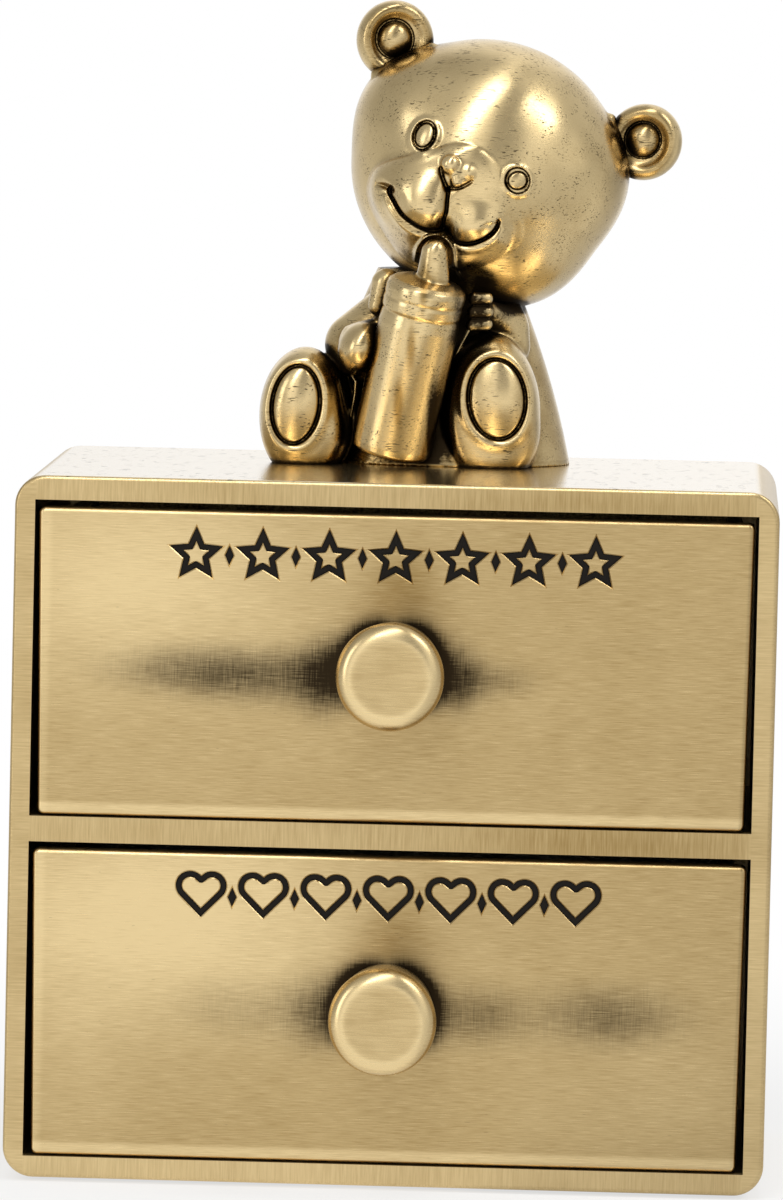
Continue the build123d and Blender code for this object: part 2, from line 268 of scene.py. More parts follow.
def press(field, drawn, line, depth, width, fade=(0.1, 0.1)):
    """Presses a line into a field, or raises it where the depth is negative."""
    low, high = line.min(0) - 3 * width, line.max(0) + 3 * width
    near = ((drawn > low) & (drawn < high)).all(1) & (np.abs(field) < 2)
    if near.any():
        away, share = along(drawn[near], line)
        ends = np.ones_like(share)
        for length, left in zip(fade, (share, 1 - share)):
            if length:
                ends *= np.sqrt(np.clip(left / length, 0, 1))
        field[near] += depth * np.exp(-((away / width) ** 2)) * ends


# ---------------- the bear's head

# Round forms: middle, half sizes, tilt and width of the joint
HEAD_FORMS = (
    ((5.48, 9.3, 23.14), (10.72, 10.1, 10.2), 20, 0),
    ((7.3, 9.0, 17.4), (5.6, 7.6, 4.9), 0, 1.6),
    ((11.7, 9.3, 22.9), (4.8, 7.0, 5.0), 0, 1.6),
    ((0.6, 9.3, 27.1), (5.3, 7.0, 5.1), 0, 1.6),
)
SNOUT_FORMS = (
    ((1.5, 4.4, 21.2), (4.9, 5.0, 4.0), 24, 0),
    ((5.4, 4.6, 19.7), (4.0, 5.0, 4.2), 24, 1.2),
    ((3.3, 5.2, 17.9), (5.0, 4.9, 2.7), 24, 1.0),
)
LIP_FORMS = (
    ((1.15, 1.5, 20.6), (2.7, 2.5, 2.4), 24, 0.7),
    ((5.3, 1.5, 19.1), (2.5, 2.5, 2.2), 24, 0.7),
)
NOSE_FORMS = (
    ((2.95, -0.9, 23.75), (0.8, 0.85, 0.78), 20, 0),
    ((4.3, -0.7, 23.2), (0.75, 0.8, 0.66), 30, 0.6),
    ((3.45, -0.8, 22.5), (0.55, 0.72, 0.8), 10, 0.6),
)
SNOUT_EDGE = smooth_line(
    [(-3.75, 21.5), (-3.3, 23.05), (-2.18, 23.86), (-0.32, 24.44), (1.84, 25.04), (3.24, 25.42)]
    + [(4.72, 25.3), (5.83, 24.66), (6.59, 23.75), (7.79, 20.82), (8.68, 19.4), (8.5, 17.7)]
    + [(7.0, 16.6), (4.6, 15.6), (1.6, 15.3), (-0.6, 16.0), (-2.1, 17.8), (-3.3, 19.8)],
    closed=True,
)
SMILES = (
    (
        [(-1.62, 22.0), (-1.85, 21.5), (-1.5, 20.85), (-0.71, 19.7)]
        + [(0.5, 18.88), (1.5, 18.56), (2.45, 18.68)],
        (0.1, 0),
    ),
    (
        [(2.6, 18.62), (3.3, 17.85), (4.24, 17.6), (5.32, 17.85)]
        + [(6.3, 18.5), (6.75, 19.3), (6.6, 19.55)],
        (0, 0.12),
    ),
)
PHILTRUM = [(2.8, 21.8), (2.72, 20.9), (2.66, 20.1), (2.45, 19.3), (2.5, 18.65)]
LOWER_LIPS = (
    [(-2.3, 21.3), (-2.1, 20.6), (-1.4, 19.5), (-0.5, 18.6), (0.45, 18.15), (1.3, 18.0)],
    [(3.3, 17.4), (4.3, 17.1), (5.5, 17.3), (6.6, 18.05), (7.2, 18.9)],
)
# Lines of the face: depth, half width, and how much of each end fades out
FACE_LINES = [(smooth_line(line), 0.32, 0.75, fade) for line, fade in SMILES]
FACE_LINES += [(smooth_line(line), 0.45, 0.12, fade) for line, fade in SMILES]
FACE_LINES += [(smooth_line(line), -0.16, 0.26, (0.2, 0.2)) for line in LOWER_LIPS]
FACE_LINES += [
    (smooth_line(PHILTRUM), 0.3, 0.5, (0, 0)),
    (smooth_line(PHILTRUM), 0.35, 0.1, (0, 0)),
    (smooth_line([(2.15, 23.6), (2.25, 22.9), (2.7, 21.8)]), 0.3, 0.14, (0.1, 0)),
    (smooth_line([(2.85, 21.9), (3.7, 21.95), (4.75, 22.55)]), 0.22, 0.13, (0, 0.2)),
    (smooth_line([(-3.0, 22.05), (-2.2, 21.9), (-1.6, 21.6)]), 0.3, 0.22, (0.5, 0)),
]
# Eyes: middle, half sizes of ring and ball, and how far each leans
EYES = (
    ((0.8, 25.93), (0.95, 1.24), (0.66, 0.94), 22, 23),
    ((8.14, 22.6), (1.08, 1.0), (0.66, 0.72), 70, 72),
)
# The hollow round the teat: middle and half sizes
MOUTH = ((1.85, 0.3, 16.5), (1.42, 3.2, 1.72))
MOUTH_RIM = smooth_line(
    [(0.15, 15.9), (0.4, 17.1), (1.0, 17.95), (1.8, 18.22)]
    + [(2.65, 17.98), (3.25, 17.1), (3.4, 15.8), (4.1, 14.5)]
)
# Beads at the ears' roots: from, to, and radius at each end
EAR_ROOTS = (
    ((-3.15, 8.0, 30.45), (0.9, 8.2, 32.5), 0.6, 0.55),
    ((15.1, 8.4, 27.3), (16.25, 8.2, 23.2), 0.5, 0.6),
)


def gathered(points, forms, field=None):
    """Joins the round forms of a table to a field, one after another."""
    for middle, half, tilt, width in forms:
        part = oval(points, middle, half, tilted(tilt))
        field = part if field is None else blend(field, part, width)
    return field


def head_field(points):
    """The head with its snout, nose, mouth, eyes and the beads at the ears' roots."""
    field = blend(gathered(points, HEAD_FORMS), gathered(points, SNOUT_FORMS), 0.45)
    field = gathered(points, LIP_FORMS, field)
    front = (points[:, 1] < 9) & (np.abs(field) < 2)
    drawn, face = points[front][:, [0, 2]], field[front]
    ledge = 0.5 * np.clip((8.4 - drawn[:, 0]) / 4.5, 0.15, 1)
    face = face - ledge * (1 - np.exp(-np.clip(inside(drawn, SNOUT_EDGE), 0, None) / 0.3))
    face = blend(face, gathered(points[front], NOSE_FORMS), 0.26)
    for line, depth, width, fade in FACE_LINES:
        press(face, drawn, line, depth, width, fade)
    press(face, drawn, MOUTH_RIM, -0.25, 0.15, (0.1, 0.1))
    for middle, ring, ball, ring_lean, ball_lean in EYES:
        to_ring, _ = flat_oval(drawn, middle, ring, ring_lean)
        to_ball, ball_share = flat_oval(drawn, middle, ball, ball_lean)
        face -= 0.16 * np.exp(-(((to_ring - 0.1) / 0.16) ** 2))
        face += 0.4 * np.clip(-to_ring / 0.1, 0, 1) * np.clip((to_ball + 0.06) / 0.12, 0, 1)
        face -= 0.2 * np.sqrt(np.clip(1 - ball_share**2, 0, 1))
    field[front] = face
    field = carve(field, oval(points, *MOUTH), 0.12)
    for root in EAR_ROOTS:
        field = blend(field, taper(points, *root), 0.3)
    return field


# ---------------- the bear's ears

# Middle, radius and axes of each ear
EARS = {
    "bear_left_ear": ((-1.95, 9.1, 33.15), 3.05, tilted(-8, 12)),
    "bear_right_ear": ((17.85, 9.1, 25.6), 2.95, tilted(38, -8)),
}


def ear_field(points, middle, radius, axes):
    """A cupped ear: a broad rim, a thin ring in its hollow and a ball in the middle."""
    q = (points - np.asarray(middle)) @ axes
    out = np.hypot(q[:, 0], q[:, 2] * 0.97)
    rim = np.hypot(out - (radius - 0.68), q[:, 1] * 0.55) - 0.68
    floor = np.maximum(out - (radius - 0.7), np.abs(q[:, 1] - 0.1) - 0.85)
    field = blend(rim, floor, 0.35)
    within = np.hypot(q[:, 0] + 0.12, (q[:, 2] - 0.12) * 0.97)
    field = carve(field, np.hypot(within - (radius - 1.6), (q[:, 1] + 0.85) * 0.5) - 0.13, 0.06)
    return blend(field, oval(q, (-0.12, -0.25, 0.12), (1.42, 1.15, 1.46)), 0.03)


# ---------------- the bear's body

# Round forms, as for the head
BODY_FORMS = (
    ((1.0, 8.0, 6.5), (5.6, 5.0, 7.0), 0, 0.8),
    ((-7.4, 8.4, 3.6), (3.2, 5.6, 4.6), 0, 0.5),
    ((6.2, 8.7, 4.2), (3.9, 5.4, 5.2), 0, 0.4),
)
# Arms and fingers: from, to, radius at each end and width of the joint
ARM_RODS = (
    ((6.6, 7.6, 12.2), (7.6, 6.2, 9.4), 1.9, 1.7, 0.9),
    ((5.9, 3.5, 12.3), (7.3, 6.2, 11.0), 0.85, 1.7, 0.9),
    ((4.95, 1.4, 13.3), (5.9, 1.8, 13.3), 0.52, 0.5, 0.06),
    ((4.85, 1.4, 12.25), (5.95, 1.8, 12.25), 0.5, 0.5, 0.06),
    ((4.75, 1.4, 11.25), (5.9, 1.8, 11.3), 0.48, 0.5, 0.06),
    ((0.6, 8.2, 13.2), (-4.3, 5.7, 9.3), 2.6, 2.5, 0.8),
    ((-1.95, 2.2, 14.25), (-2.5, 2.2, 12.55), 1.2, 0.85, 0.15),
    ((-3.95, 2.6, 9.7), (-2.5, 2.4, 11.1), 1.6, 0.6, 0.2),
)
ELBOW = (((-3.85, 2.0, 9.3), (1.72, 2.5, 2.05), 25, 0.35),)
# Thin seams left by the casting, in the dark beside the bottle
SEAMS = (
    ((-5.6, 5.6, 8.3), (-4.3, 5.0, 6.4), (-4.35, 5.2, 5.4), (-4.9, 5.6, 2.0), (-4.3, 5.4, 0.1)),
    ((4.6, 3.2, 10.9), (2.8, 3.2, 7.2), (2.45, 3.8, 4.3), (2.35, 5.2, 0.2)),
)
SEAM_RADIUS = 0.15
# Feet: middle, half sizes and tilt, the same of the pad, and the heel's middle and half sizes
FEET = (
    (
        ((-8.4, 4.35, 3.95), (3.35, 4.5, 5.15), 4),
        ((-8.82, 4.65), (1.86, 3.05), 6),
        ((-7.7, 4.7, 2.3), (3.05, 4.3, 3.3)),
    ),
    (
        ((6.35, 4.35, 4.5), (3.9, 4.5, 6.1), -4),
        ((6.88, 5.45), (2.22, 3.12), -6),
        ((6.75, 4.7, 2.3), (3.35, 4.3, 3.4)),
    ),
)
SOLE_REACH = 2.65


def torso_field(points):
    """The torso, narrower towards the neck."""
    up = np.clip(points[:, 2], -1, 15.5)
    half_width = 10.25 - 0.2 * up - 0.0085 * up**2
    half_depth = 7.95 - 0.26 * up
    share = np.hypot((points[:, 0] - 2.3) / half_width, (points[:, 1] - 10.6) / half_depth)
    return np.maximum((share - 1) * np.minimum(half_width, half_depth), points[:, 2] - 15.2)


def foot_field(points, foot, pad, heel):
    """A foot with a flattened sole, and a domed pad in a groove with a soft bank round it."""
    middle, half, tilt = foot
    field = blend(oval(points, middle, half, tilted(tilt)), oval(points, *heel), 0.8)
    behind_sole = middle[1] - SOLE_REACH - points[:, 1]
    field = carve(field, -behind_sole, 1.1)
    front = points[:, 1] < middle[1]
    to_pad, share = flat_oval(points[front][:, [0, 2]], *pad)
    field[front] += 0.3 * np.exp(-((to_pad / 0.12) ** 2))
    field[front] -= 0.2 * np.exp(-(((to_pad - 0.5) / 0.34) ** 2))
    field[front] -= 0.6 * np.clip(1 - share**2, 0, 1)
    return field


def seams_field(points):
    """The thin seams beside the bottle."""
    runs = [run for seam in SEAMS for run in zip(seam[:-1], seam[1:])]
    return np.minimum.reduce([taper(points, *run, SEAM_RADIUS, SEAM_RADIUS) for run in runs])


def body_field(points):
    """The seated body with its arms, hands and feet, cut off at the lid."""
    field = gathered(points, BODY_FORMS, torso_field(points))
    for *rod, width in ARM_RODS:
        field = blend(field, taper(points, *rod), width)
    field = gathered(points, ELBOW, field)
    for foot in FEET:
        field = blend(field, foot_field(points, *foot), 0.35)
    return np.maximum(np.minimum(field, seams_field(points)), -points[:, 2])


# ---------------- the bottle

BOTTLE_BASE = np.array([-1.402, 2.502, 1.092])
BOTTLE_TIP = np.array([2.0, -0.592, 17.727])
# Radius and distance along the bottle, and the rod that its teat is
BOTTLE_PROFILE = np.array(
    [(0, 0), (2.5, 0), (2.78, 0.1), (2.95, 0.35), (3.0, 0.8), (3.02, 8.0), (3.0, 10.5), (2.93, 11.15)]
    + [(2.88, 11.45), (2.98, 11.7), (3.0, 12.3), (2.95, 12.55), (3.0, 12.8), (3.0, 13.35), (2.88, 13.7)]
    + [(2.5, 13.98), (1.9, 14.2), (1.2, 14.4), (0, 14.5)]
) * (1.05, 1)
TEAT = ((1.75, -0.25, 14.9), (1.85, -0.62, 16.9), 1.32, 1.04)


def bottle_field(points):
    """A turned bottle with a collar, and a teat on it."""
    axis = (BOTTLE_TIP - BOTTLE_BASE) / np.linalg.norm(BOTTLE_TIP - BOTTLE_BASE)
    up = (points - BOTTLE_BASE) @ axis
    out = np.linalg.norm(points - BOTTLE_BASE - up[:, None] * axis, axis=1)
    away, _ = along(np.stack([out, up], 1), BOTTLE_PROFILE)
    top = BOTTLE_PROFILE[-1, 1]
    radius = np.interp(np.clip(up, 0, top), BOTTLE_PROFILE[:, 1], BOTTLE_PROFILE[:, 0])
    field = np.where((up > 0) & (up < top) & (out < radius), -away, away)
    return blend(field, taper(points, *TEAT), 0.25)


def bear_field(points):
    """The whole bear, for finding its hollows."""
    ears = [ear_field(points, *ear) for ear in EARS.values()]
    return np.minimum.reduce([head_field(points), *ears, body_field(points), bottle_field(points)])


# How far from a groove the faces are halved, once and twice
FINE_REACH = (0.38, 0.15)


def near_face(points, reach):
    """Where the face needs smaller faces."""
    drawn, near = points[:, [0, 2]], np.zeros(len(points), bool)
    front = np.flatnonzero((points[:, 1] < 5) & (np.abs(drawn - (3, 21.5)).max(1) < 8))
    for line in [line for line, *_ in FACE_LINES] + [MOUTH_RIM]:
        near[front] |= along(drawn[front], line)[0] < reach
    for middle, ring, _, lean, _ in EYES:
        near[front] |= flat_oval(drawn[front], middle, ring, lean)[0] < reach * 0.7
    for middle, *_ in NOSE_FORMS:
        to_nose = np.linalg.norm(drawn[front] - (middle[0], middle[2]), axis=1)
        near[front] |= to_nose < 0.6 + reach
    return near


def near_relief(points, reach):
    """Where the body needs smaller faces: round the pads, at the seams, and at first on the hand."""
    drawn, front = points[:, [0, 2]], points[:, 1] < 4.0
    on_hand = (np.abs(drawn - (5.3, 12.3)) < (1.6, 2.2)).all(1)
    near = front & on_hand & (reach > FINE_REACH[1])
    for _, pad, _ in FEET:
        near |= front & (np.abs(flat_oval(drawn, *pad)[0] - 0.15) < reach)
    return near | (seams_field(points) < reach * 0.6)


def near_nothing(points, reach):
    """For pieces with a fine grid of their own."""
    return np.zeros(len(points), bool)


# ---------------- from fields to meshes


def slopes(field, points, reach):
    """Direction in which a field grows."""
    steps = np.eye(3) * reach
    grown = [field(points + step) - field(points - step) for step in steps]
    return np.stack(grown, 1) / (2 * reach)


def outward(field, points, reach):
    """Unit normals of a field's surface."""
    slope = slopes(field, points, reach)
    return slope / np.maximum(np.linalg.norm(slope, axis=1, keepdims=True), TINY)


FAR_OUTSIDE = 9.0
BLOCKS_AT_ONCE = 400


def grid(counts):
    """Every place in a grid of so many steps each way."""
    return np.stack(np.meshgrid(*[np.arange(count) for count in counts], indexing="ij"), -1).reshape(-1, 3)


def sample(field, low, high, step, block=6):
    """The field on a grid, worked out only in the blocks that its surface may cross."""
    counts = np.ceil((np.asarray(high) - low) / (step * block)).astype(int)
    values = np.full(counts * block, FAR_OUTSIDE, np.float32)
    places = grid(counts)
    centres = low + (places * block + (block - 1) / 2) * step
    middle = field(centres)
    reach = block * step * 1.6
    local = grid([block] * 3)
    for place, value in zip(places[middle < -reach], middle[middle < -reach]):
        i, j, k = place * block
        values[i : i + block, j : j + block, k : k + block] = value
    near = places[np.abs(middle) <= reach]
    for group in np.array_split(near, max(1, len(near) // BLOCKS_AT_ONCE)):
        index = (group[:, None, :] * block + local).reshape(-1, 3)
        values[tuple(index.T)] = field(low + index * step)
    return values


def skin(values, low, step):
    """A mesh of the surface where a sampled field is zero: a corner in each crossed cell."""
    solid = values < 0
    cell_count = np.array(values.shape) - 1

    def window(array, offset):
        return array[tuple(slice(o, o + n) for o, n in zip(offset, cell_count))]

    offsets = grid((2, 2, 2))
    filled = sum(window(solid, offset).astype(np.int8) for offset in offsets)
    cells = (filled > 0) & (filled < 8)
    number = np.full(cells.shape, -1, np.int64)
    number[cells] = np.arange(cells.sum())
    where = np.argwhere(cells)
    total, crossed = np.zeros((len(where), 3)), np.zeros(len(where))
    for axis in range(3):
        for offset in offsets[offsets[:, axis] == 0]:
            first = where + offset
            second = first.copy()
            second[:, axis] += 1
            a, b = values[tuple(first.T)], values[tuple(second.T)]
            cut = (a < 0) != (b < 0)
            point = first[cut].astype(float)
            point[:, axis] += a[cut] / (a[cut] - b[cut])
            total[cut] += point
            crossed[cut] += 1
    corners = low + total / crossed[:, None] * step
    faces = []
    for axis in range(3):
        u, v = (axis + 1) % 3, (axis + 2) % 3
        edge = np.diff(solid.astype(np.int8), axis=axis)
        at = np.argwhere(edge != 0)
        at = at[(at[:, [u, v]] > 0).all(1) & (at[:, [u, v]] < cell_count[[u, v]]).all(1)]
        leaving = edge[tuple(at.T)] < 0
        ring = []
        for du, dv in ((0, 0), (1, 0), (1, 1), (0, 1)):
            cell = at.copy()
            cell[:, u] -= du
            cell[:, v] -= dv
            ring.append(number[tuple(cell.T)])
        ring = np.stack(ring, 1)
        ring[~leaving] = ring[~leaving][:, ::-1]
        faces.append(ring)
    return corners, np.vstack(faces)


def settled(field, corners, reach):
    """Corners moved onto a field's surface."""
    for _ in range(2):
        slope = slopes(field, corners, reach / 4)
        steepness = np.maximum((slope**2).sum(1), 0.2)
        move = slope * (field(corners) / steepness)[:, None]
        corners = corners - np.clip(move, -reach / 2, reach / 2)
    return corners


def mesh_corners(mesh):
    found = np.empty(len(mesh.vertices) * 3, np.float32)
    mesh.vertices.foreach_get("co", found)
    return found.reshape(-1, 3).astype(float)


def set_corners(mesh, corners):
    mesh.vertices.foreach_set("co", corners.astype(np.float32).ravel())


def sculpted(node, field, low, high, step, fine=near_nothing):
    """A bear piece from its field, with smaller faces where the function `fine` says so."""
    name = node + "_cast"
    low = np.asarray(low, float)
    corners, faces = skin(sample(field, low, high, step), low, step)
    corners = settled(field, corners, step)
    mesh = bpy.data.meshes.new(name)
    mesh.from_pydata(corners.tolist(), [], faces.tolist())
    for level, reach in enumerate(FINE_REACH):
        near = fine(mesh_corners(mesh), reach)
        form = bmesh.new()
        form.from_mesh(mesh)
        edges = [e for e in form.edges if near[e.verts[0].index] and near[e.verts[1].index]]
        bmesh.ops.subdivide_edges(form, edges=edges, cuts=1, use_grid_fill=True)
        form.to_mesh(mesh)
        form.free()
        corners = settled(field, mesh_corners(mesh), step / 2**level)
        set_corners(mesh, corners)
    add_wear(mesh, corners, outward(field, corners, step / 4))
    set_corners(mesh, (corners + [0, 0, LID]) * MM)
    paint(link(name, mesh, "case", [node]), shared("bear", make_bear_brass))


# What each corner of the bear stores, how far out its hollows are looked for, and how far in its edges
WEAR = ("groove", "hollow", "edge")
HOLLOW_REACH = (0.3, 0.8, 2.0, 4.5)
EDGE_REACH = 0.35


def add_wear(mesh, points, normals):
    """Stores how deep each corner lies in a groove or a hollow, and how far it stands out, from 0 to 1."""
    near = []
    for reach in HOLLOW_REACH:
        moved = points + normals * reach
        away = bear_field(moved)
        if reach < 1:
            away = np.minimum(away, moved[:, 2])
        near.append(np.clip(1 - away / reach, 0, 1))
    groove = 0.4 * near[0] + 0.6 * near[1]
    hollow = 0.35 * near[1] + 0.4 * near[2] + 0.25 * near[3]
    edge = np.clip(1 + bear_field(points - normals * EDGE_REACH) / EDGE_REACH, 0, 1)
    for name, values in zip(WEAR, (groove, hollow, edge)):
        mesh.attributes.new(name, "FLOAT", "POINT").data.foreach_set("value", values.astype(np.float32))


# ---------------- making objects


_shared = {}


def shared(name, make):
    """A material that more than one piece wears."""
    if name not in _shared:
        _shared[name] = make()
    return _shared[name]


def in_scene(name, data):
    """A new object in the scene."""
    made = bpy.data.objects.new(name, data)
    bpy.context.scene.collection.objects.link(made)
    return made


def plain_mesh(source):
    """The mesh that an object's modifiers make. The object itself goes."""
    mesh = bpy.data.meshes.new_from_object(source.evaluated_get(bpy.context.evaluated_depsgraph_get()))
    bpy.data.objects.remove(source)
    return mesh


def link(name, mesh, body, replaces=(), smooth=True):
    """A finished mesh as an object on its body's empty, in place of the pieces it replaces."""
    if smooth:
        mesh.shade_smooth()
    made = in_scene(name, mesh)
    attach(made, body)
    if replaces:
        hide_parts(*replaces)
    return made


def mesh_from(name, corners, faces):
    """A mesh from corners in millimetres."""
    mesh = bpy.data.meshes.new(name)
    mesh.from_pydata((np.asarray(corners) * MM).tolist(), [], [list(face) for face in faces])
    return mesh


def turned(profile, base, axis, around):
    """Corners and faces of a turned form: a profile of radius and distance, swept round an axis."""
    axis = np.asarray(axis, float) / np.linalg.norm(axis)
    side = np.cross(axis, [0, 0, 1.0] if abs(axis[2]) < 0.9 else [0, 1.0, 0])
    side /= np.linalg.norm(side)
    angles = np.arange(around) * 2 * math.pi / around
    ring = np.outer(np.cos(angles), side) + np.outer(np.sin(angles), np.cross(axis, side))
    inner = [row for row in profile if row[0] > 0]
    corners = [np.asarray(base) + ring * r + axis * t for r, t in inner]
    corners = np.vstack([*corners, [base + axis * profile[0][1]], [base + axis * profile[-1][1]]])
    faces = []
    start, end, last = len(corners) - 2, len(corners) - 1, (len(inner) - 1) * around
    for i in range(around):
        j = (i + 1) % around
        for row in range(0, last, around):
            faces.append((row + i, row + j, row + around + j, row + around + i))
        faces += [(start, j, i), (end, last + i, last + j)]
    return corners, faces


def finer(profile, longest):
    """A profile with its long runs divided."""
    made = [tuple(profile[0])]
    for a, b in zip(profile[:-1], profile[1:]):
        parts = max(1, math.ceil(math.dist(a, b) / longest))
        made += [tuple(np.asarray(a) + (np.asarray(b) - a) * k / parts) for k in range(1, parts + 1)]
    return made


def paint(made, material):
    """Gives an object one material."""
    made.data.materials.clear()
    made.data.materials.append(material)


# Waves in a cloth's face: direction and length
CLOTH_WAVES = ((0.4, 3.1), (1.7, 4.3), (2.6, 2.3))


def fabric(name, node, body, voxel, pile):
    """A soft copy of a CAD piece, with its edges rounded and its face a little uneven."""
    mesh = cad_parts[node].data.copy()
    form = bmesh.new()
    form.from_mesh(mesh)
    bmesh.ops.remove_doubles(form, verts=form.verts, dist=0.001 * MM)
    bmesh.ops.recalc_face_normals(form, faces=form.faces)
    form.to_mesh(mesh)
    form.free()
    rough = in_scene(name + "_rough", mesh)
    remesh = rough.modifiers.new("remesh", "REMESH")
    remesh.mode, remesh.voxel_size = "VOXEL", voxel * MM
    smooth = rough.modifiers.new("smooth", "SMOOTH")
    smooth.factor, smooth.iterations = 0.5, 3
    soft = plain_mesh(rough)
    soft.name = name
    soft.materials.clear()
    corners = mesh_corners(soft)
    normals = np.array([vertex.normal for vertex in soft.vertices])
    wave = np.zeros(len(corners))
    for turn, length in CLOTH_WAVES:
        ahead = np.array([math.cos(turn), math.sin(turn), 0.7 * math.sin(3 * turn)])
        wave += np.sin(corners / MM @ ahead * 2 * math.pi / length + turn)
    corners += normals * (wave[:, None] / len(CLOTH_WAVES) - 1) * pile / 2 * MM
    set_corners(soft, corners)
    return link(name, soft, body, [node])


# ---------------- material nodes


class Tree:
    """Adds nodes to a tree and links them."""

    def __init__(self, tree):
        self.tree = tree
        tree.nodes.clear()

    def join(self, node, inputs):
        for key, value in inputs.items():
            if isinstance(value, bpy.types.NodeSocket):
                self.tree.links.new(value, node.inputs[key])
            else:
                node.inputs[key].default_value = value
        return node

    def add(self, kind, inputs=None, **values):
        made = self.tree.nodes.new(kind)
        for key, value in values.items():
            setattr(made, key, value)
        return self.join(made, inputs or {})

    def math(self, operation, *values):
        return self.add("ShaderNodeMath", dict(enumerate(values)), operation=operation).outputs[0]

    def fold(self, operation, values):
        total = values[0]
        for value in values[1:]:
            total = self.math(operation, total, value)
        return total

    def plus(self, *values):
        return self.fold("ADD", values)

    def times(self, *values):
        return self.fold("MULTIPLY", values)

    def most(self, *values):
        return self.fold("MAXIMUM", values)

    def minus(self, a, b):
        return self.math("SUBTRACT", a, b)

    def limited(self, value):
        """A value kept from 0 to 1."""
        return self.math("MINIMUM", self.most(value, 0.0), 1.0)

    def swing(self, noise, width):
        """A noise that swings to both sides of 0."""
        return self.times(self.minus(noise, 0.5), width)

    def noise(self, place, scale, detail=2.0, roughness=0.5):
        inputs = {"Vector": place, "Scale": scale, "Detail": detail, "Roughness": roughness}
        return self.add("ShaderNodeTexNoise", inputs).outputs["Fac"]

    def stretch(self, place, scale=(1, 1, 1), turn=(0, 0, 0), shift=(0, 0, 0)):
        inputs = {"Vector": place, "Scale": scale, "Rotation": turn, "Location": shift}
        return self.add("ShaderNodeMapping", inputs).outputs[0]

    def strokes(self, place, scale, turn=(0, 0, 0), roughness=0.6):
        """Noise drawn out into brushed lines."""
        return self.noise(self.stretch(place, scale, turn), 1.0, 3.0, roughness)

    def length(self, place):
        return self.add("ShaderNodeVectorMath", {0: place}, operation="LENGTH").outputs["Value"]

    def ramp(self, value, low, high, to_low=0.0, to_high=1.0):
        inputs = {"Value": value, "From Min": low, "From Max": high, "To Min": to_low, "To Max": to_high}
        return self.add("ShaderNodeMapRange", inputs, interpolation_type="SMOOTHSTEP").outputs[0]

    def mix(self, share, a, b):
        made = self.add("ShaderNodeMix", data_type="RGBA")
        return self.join(made, {0: share, 6: a, 7: b}).outputs[2]

    def split(self, place):
        return self.add("ShaderNodeSeparateXYZ", {0: place}).outputs

    def bump(self, height, distance):
        return self.add("ShaderNodeBump", {"Height": height, "Distance": distance}).outputs[0]

    def spot(self, place, x, z, half_x, half_z, strength):
        """A soft oval patch: middle, half sizes and strength, in the plane that faces the front."""
        local = self.stretch(place, (1 / half_x, 0, 1 / half_z), shift=(-x / half_x, 0, -z / half_z))
        both = {0: local, 1: local}
        away = self.add("ShaderNodeVectorMath", both, operation="DOT_PRODUCT").outputs["Value"]
        return self.times(self.math("EXPONENT", self.times(away, -1.0)), strength)

    def spots(self, place, spots, above=0.0):
        """Soft oval patches together, each as far above a height as its second number says."""
        return self.plus(*[self.spot(place, x, z + above, *rest) for x, z, *rest in spots])

    def end(self, surface, kind="ShaderNodeOutputMaterial"):
        self.add(kind, {"Surface": surface.outputs[0]})


def new_material(name):
    """A material and its empty tree."""
    made = bpy.data.materials.new(name)
    made.use_nodes = True
    return made, Tree(made.node_tree)


def in_millimetres(tree, centre=(0, 0, 0)):
    """Object coordinates in millimetres from a centre."""
    place = tree.add("ShaderNodeTexCoord").outputs["Object"]
    return tree.stretch(place, (1 / MM,) * 3, shift=tuple(-c for c in centre))


def new_brass(name, centre=(0, 0, 0)):
    """A material, its tree, the place in millimetres and the settings of the finish."""
    material, tree = new_material(name)
    return material, tree, in_millimetres(tree, centre), bpy.context.scene.tooth_box_finish


def scratches(tree, place, turn, density):
    """Sparse fine hair lines, from 0 to 1."""
    fine = tree.noise(tree.stretch(place, (1.1, 9, 9), turn), 1.0, 1.0)
    patches = tree.noise(tree.stretch(place, (0.8, 0.8, 0.8), turn), 1.0, 1.0)
    return tree.times(tree.ramp(fine, 1 - density, 1 - density + 0.04), tree.ramp(patches, 0.5, 0.62))


def finish_brass(tree, share, patina_and_shade, roughness, brushed, grain, stretched=0.55, polished=0.0):
    """Ends a brass material. Its highlights are drawn out along the grain's direction."""
    finish = bpy.context.scene.tooth_box_finish
    plate = tree.mix(share, finish.brass, finish.deep_brass)
    direction = tree.add("ShaderNodeCombineXYZ", dict(enumerate(grain))).outputs[0]
    lacquer = tree.times(tree.minus(1.0, patina_and_shade), tree.most(polished, finish.lacquer))
    # The dark colour goes where the mask holds patina and painted shade
    inputs = {
        "Base Color": tree.mix(patina_and_shade, plate, finish.patina_and_shade),
        "Metallic": 1.0,
        "Roughness": roughness,
        "Normal": tree.bump(brushed, finish.brush_depth),
        "Tangent": direction,
        "Anisotropic": stretched,
        "Coat Weight": lacquer,
        "Coat Roughness": 0.16,
    }
    tree.end(tree.add("ShaderNodeBsdfPrincipled", inputs))


BEAR_GRAIN = 0.78
